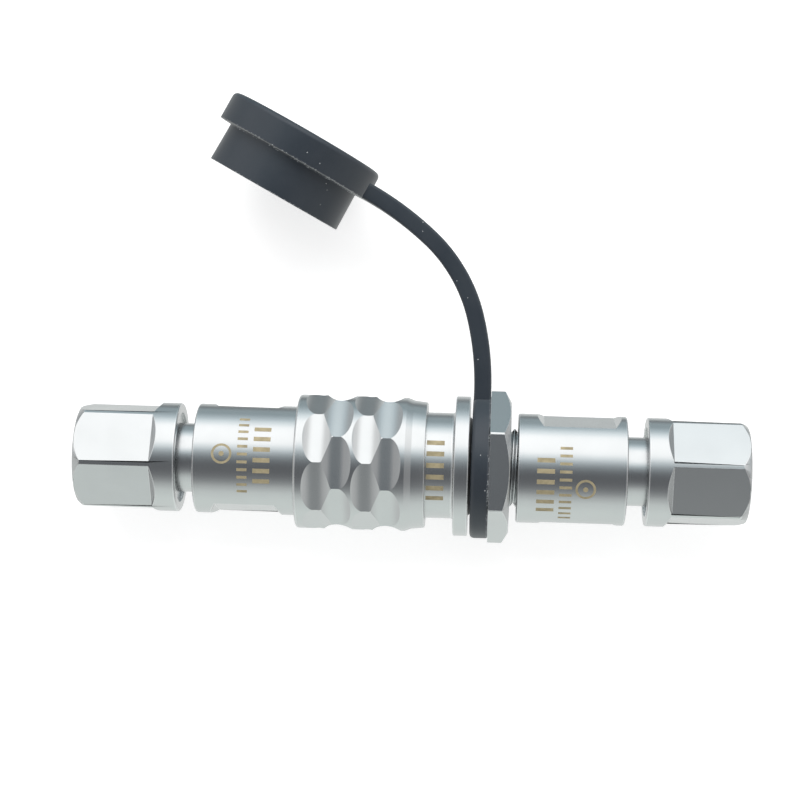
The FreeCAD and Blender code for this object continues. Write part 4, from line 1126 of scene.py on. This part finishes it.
def tent_material():
    """A light tent's inside: bright on one side, dim overhead where the camera looks in."""
    material = bpy.data.materials.new("tent_cloth")
    material.use_nodes = True
    tree = material.node_tree
    tree.nodes.remove(tree.nodes["Principled BSDF"])
    link, add = tree.links.new, tree.nodes.new
    place = add("ShaderNodeTexCoord")
    parts = add("ShaderNodeSeparateXYZ")
    link(place.outputs["Object"], parts.inputs["Vector"])
    turn = math_node(tree, "ARCTAN2", parts.outputs["Y"], parts.outputs["Z"])
    share = math_node(tree, "ADD", math_node(tree, "DIVIDE", turn, 2 * math.pi), 0.5)
    tones = add("ShaderNodeValToRGB")
    tones.color_ramp.interpolation = "EASE"
    stops = tones.color_ramp.elements
    brightest = max(max(tone) for _, tone in TENT_TONES)
    while len(stops) < len(TENT_TONES):
        stops.new(0.5)
    for stop, (angle, tone) in zip(stops, TENT_TONES):
        stop.position = angle / 360 + 0.5
        stop.color = (*(value / brightest for value in tone), 1)
    link(share, tones.inputs["Fac"])
    along = math_node(tree, "ABSOLUTE", parts.outputs["X"])
    ends = add("ShaderNodeMapRange")
    ends.interpolation_type = "SMOOTHSTEP"
    ends.inputs["From Min"].default_value = TENT_END_FROM
    ends.inputs["From Max"].default_value = TENT_END_TO
    ends.inputs["To Max"].default_value = TENT_END_SHARE
    link(along, ends.inputs["Value"])
    mix = add("ShaderNodeMix")
    mix.data_type = "RGBA"
    link(ends.outputs["Result"], mix.inputs["Factor"])
    link(tones.outputs["Color"], mix.inputs[FIRST_COLOUR])
    mix.inputs[SECOND_COLOUR].default_value = (*TENT_END_TONE, 1)
    glow = add("ShaderNodeEmission")
    glow.inputs["Strength"].default_value = brightest
    link(mix.outputs[MIXED_COLOUR], glow.inputs["Color"])
    link(glow.outputs["Emission"], tree.nodes["Material Output"].inputs["Surface"])
    return material


def floor_material():
    """White card that keeps a shadow and reads white to the camera."""
    material = bpy.data.materials.new("floor_card")
    material.use_nodes = True
    tree = material.node_tree
    link, add = tree.links.new, tree.nodes.new
    card = tree.nodes["Principled BSDF"]
    card.inputs["Base Color"].default_value = (0.82, 0.82, 0.82, 1)
    card.inputs["Roughness"].default_value = 0.9
    card.inputs["Specular IOR Level"].default_value = 0.0
    glow = add("ShaderNodeEmission")
    link(math_node(tree, "MULTIPLY", background_rays(tree), 0.6), glow.inputs["Strength"])
    both = add("ShaderNodeAddShader")
    link(card.outputs["BSDF"], both.inputs[0])
    link(glow.outputs["Emission"], both.inputs[1])
    link(both.outputs["Shader"], tree.nodes["Material Output"].inputs["Surface"])
    return material


def lay_floor():
    """A flat floor just under the object, kept out of the metal's reflections."""
    lowest = CAD_BOX[0][2]
    bm = bmesh.new()
    bmesh.ops.create_grid(bm, x_segments=1, y_segments=1, size=FLOOR_HALF,
                          matrix=Matrix.Translation((0, 0, lowest - FLOOR_GAP)))
    floor = mesh_of("floor", bm)
    floor.data.materials.append(floor_material())
    floor.visible_glossy = False


def raise_tent():
    """A light tent about the object, seen only in the metal's reflections."""
    tent = turned("light_tent", TENT_OUTLINE, TENT_STEPS)
    tent.data.materials.append(tent_material())
    tent.visible_camera = tent.visible_diffuse = tent.visible_shadow = tent.visible_transmission = False


def studio_world():
    """An even white world that lights the object less than it shows as a background."""
    world = bpy.data.worlds.new("studio")
    world.use_nodes = True
    tree = world.node_tree
    level = tree.nodes.new("ShaderNodeMapRange")
    level.inputs["To Min"].default_value = 0.55
    level.inputs["To Max"].default_value = 1.0
    tree.links.new(background_rays(tree), level.inputs["Value"])
    sky = tree.nodes["Background"]
    sky.inputs["Color"].default_value = (1, 1, 1, 1)
    tree.links.new(level.outputs["Result"], sky.inputs["Strength"])
    return world


def hang_softbox():
    """A soft lamp that shines on the object from over its strap's side."""
    lamp = bpy.data.lights.new("softbox", "AREA")
    lamp.shape = "RECTANGLE"
    lamp.size, lamp.size_y = 0.5, 0.3
    lamp.energy = 1.1
    softbox = shown("softbox", lamp)
    softbox.location = (0.0, 0.28, 0.3)
    softbox.rotation_euler = softbox.location.to_track_quat("Z", "Y").to_euler()
    softbox.visible_glossy = False


def photo_camera():
    """The camera at the photograph's angle, with its lean."""
    lens = bpy.data.cameras.new("photo_camera")
    lens.sensor_width = 36
    lens.lens = 93.15
    lens.shift_x = -0.078
    lens.clip_start, lens.clip_end = 0.01, 10
    camera = shown("photo_camera", lens)
    place, target = Vector(CAMERA_PLACE) * MM, Vector(CAMERA_TARGET) * MM
    back = (place - target).normalized()
    lean = math.radians(CAMERA_LEAN)
    up = Vector((-math.sin(lean), math.cos(lean), 0))
    right = up.cross(back).normalized()
    up = back.cross(right)
    camera.matrix_world = Matrix.Translation(place) @ Matrix((right, up, back)).transposed().to_4x4()
    return camera


class CONNECTOR_OT_stage(bpy.types.Operator):
    """Sets the floor, the light tent, the lamp and the camera"""

    bl_idname = "connector.stage"
    bl_label = "Stage"

    def execute(self, context):
        lay_floor()
        raise_tent()
        context.scene.world = studio_world()
        hang_softbox()
        context.scene.camera = photo_camera()
        context.scene.view_settings.view_transform = "Standard"
        return {"FINISHED"}


class CONNECTOR_PT_pieces(bpy.types.Panel):
    """Lists the sizes, the finishes and the pieces in the order they are built"""

    bl_idname = "CONNECTOR_PT_pieces"
    bl_label = "Connector pair"
    bl_space_type = "VIEW_3D"
    bl_region_type = "UI"
    bl_category = "Connector"

    def draw(self, context):
        for group in (context.scene.connector_sizes, context.scene.connector_finishes):
            column = self.layout.column(align=True)
            for name in group.__annotations__:
                column.prop(group, name)
        for operator in PIECES:
            self.layout.operator(operator.bl_idname)


# The operators in the order that main calls them.
PIECES = (CONNECTOR_OT_clamp_nuts, CONNECTOR_OT_back_shells, CONNECTOR_OT_coupling_sleeve,
          CONNECTOR_OT_socket_shell, CONNECTOR_OT_panel_nut, CONNECTOR_OT_dust_cap,
          CONNECTOR_OT_etched_marks, CONNECTOR_OT_inner_parts, CONNECTOR_OT_stage)
CLASSES = (ConnectorSizes, ConnectorFinishes, *PIECES, CONNECTOR_PT_pieces)


def register():
    for each in CLASSES:
        bpy.utils.register_class(each)
    bpy.types.Scene.connector_sizes = PointerProperty(type=ConnectorSizes)
    bpy.types.Scene.connector_finishes = PointerProperty(type=ConnectorFinishes)


def unregister():
    del bpy.types.Scene.connector_finishes
    del bpy.types.Scene.connector_sizes
    for each in reversed(CLASSES):
        bpy.utils.unregister_class(each)


def main():
    register()
    bpy.ops.connector.clamp_nuts()
    bpy.ops.connector.back_shells()
    bpy.ops.connector.coupling_sleeve()
    bpy.ops.connector.socket_shell()
    bpy.ops.connector.panel_nut()
    bpy.ops.connector.dust_cap()
    bpy.ops.connector.etched_marks()
    bpy.ops.connector.inner_parts()
    bpy.ops.connector.stage()


if __name__ == "__main__":
    main()
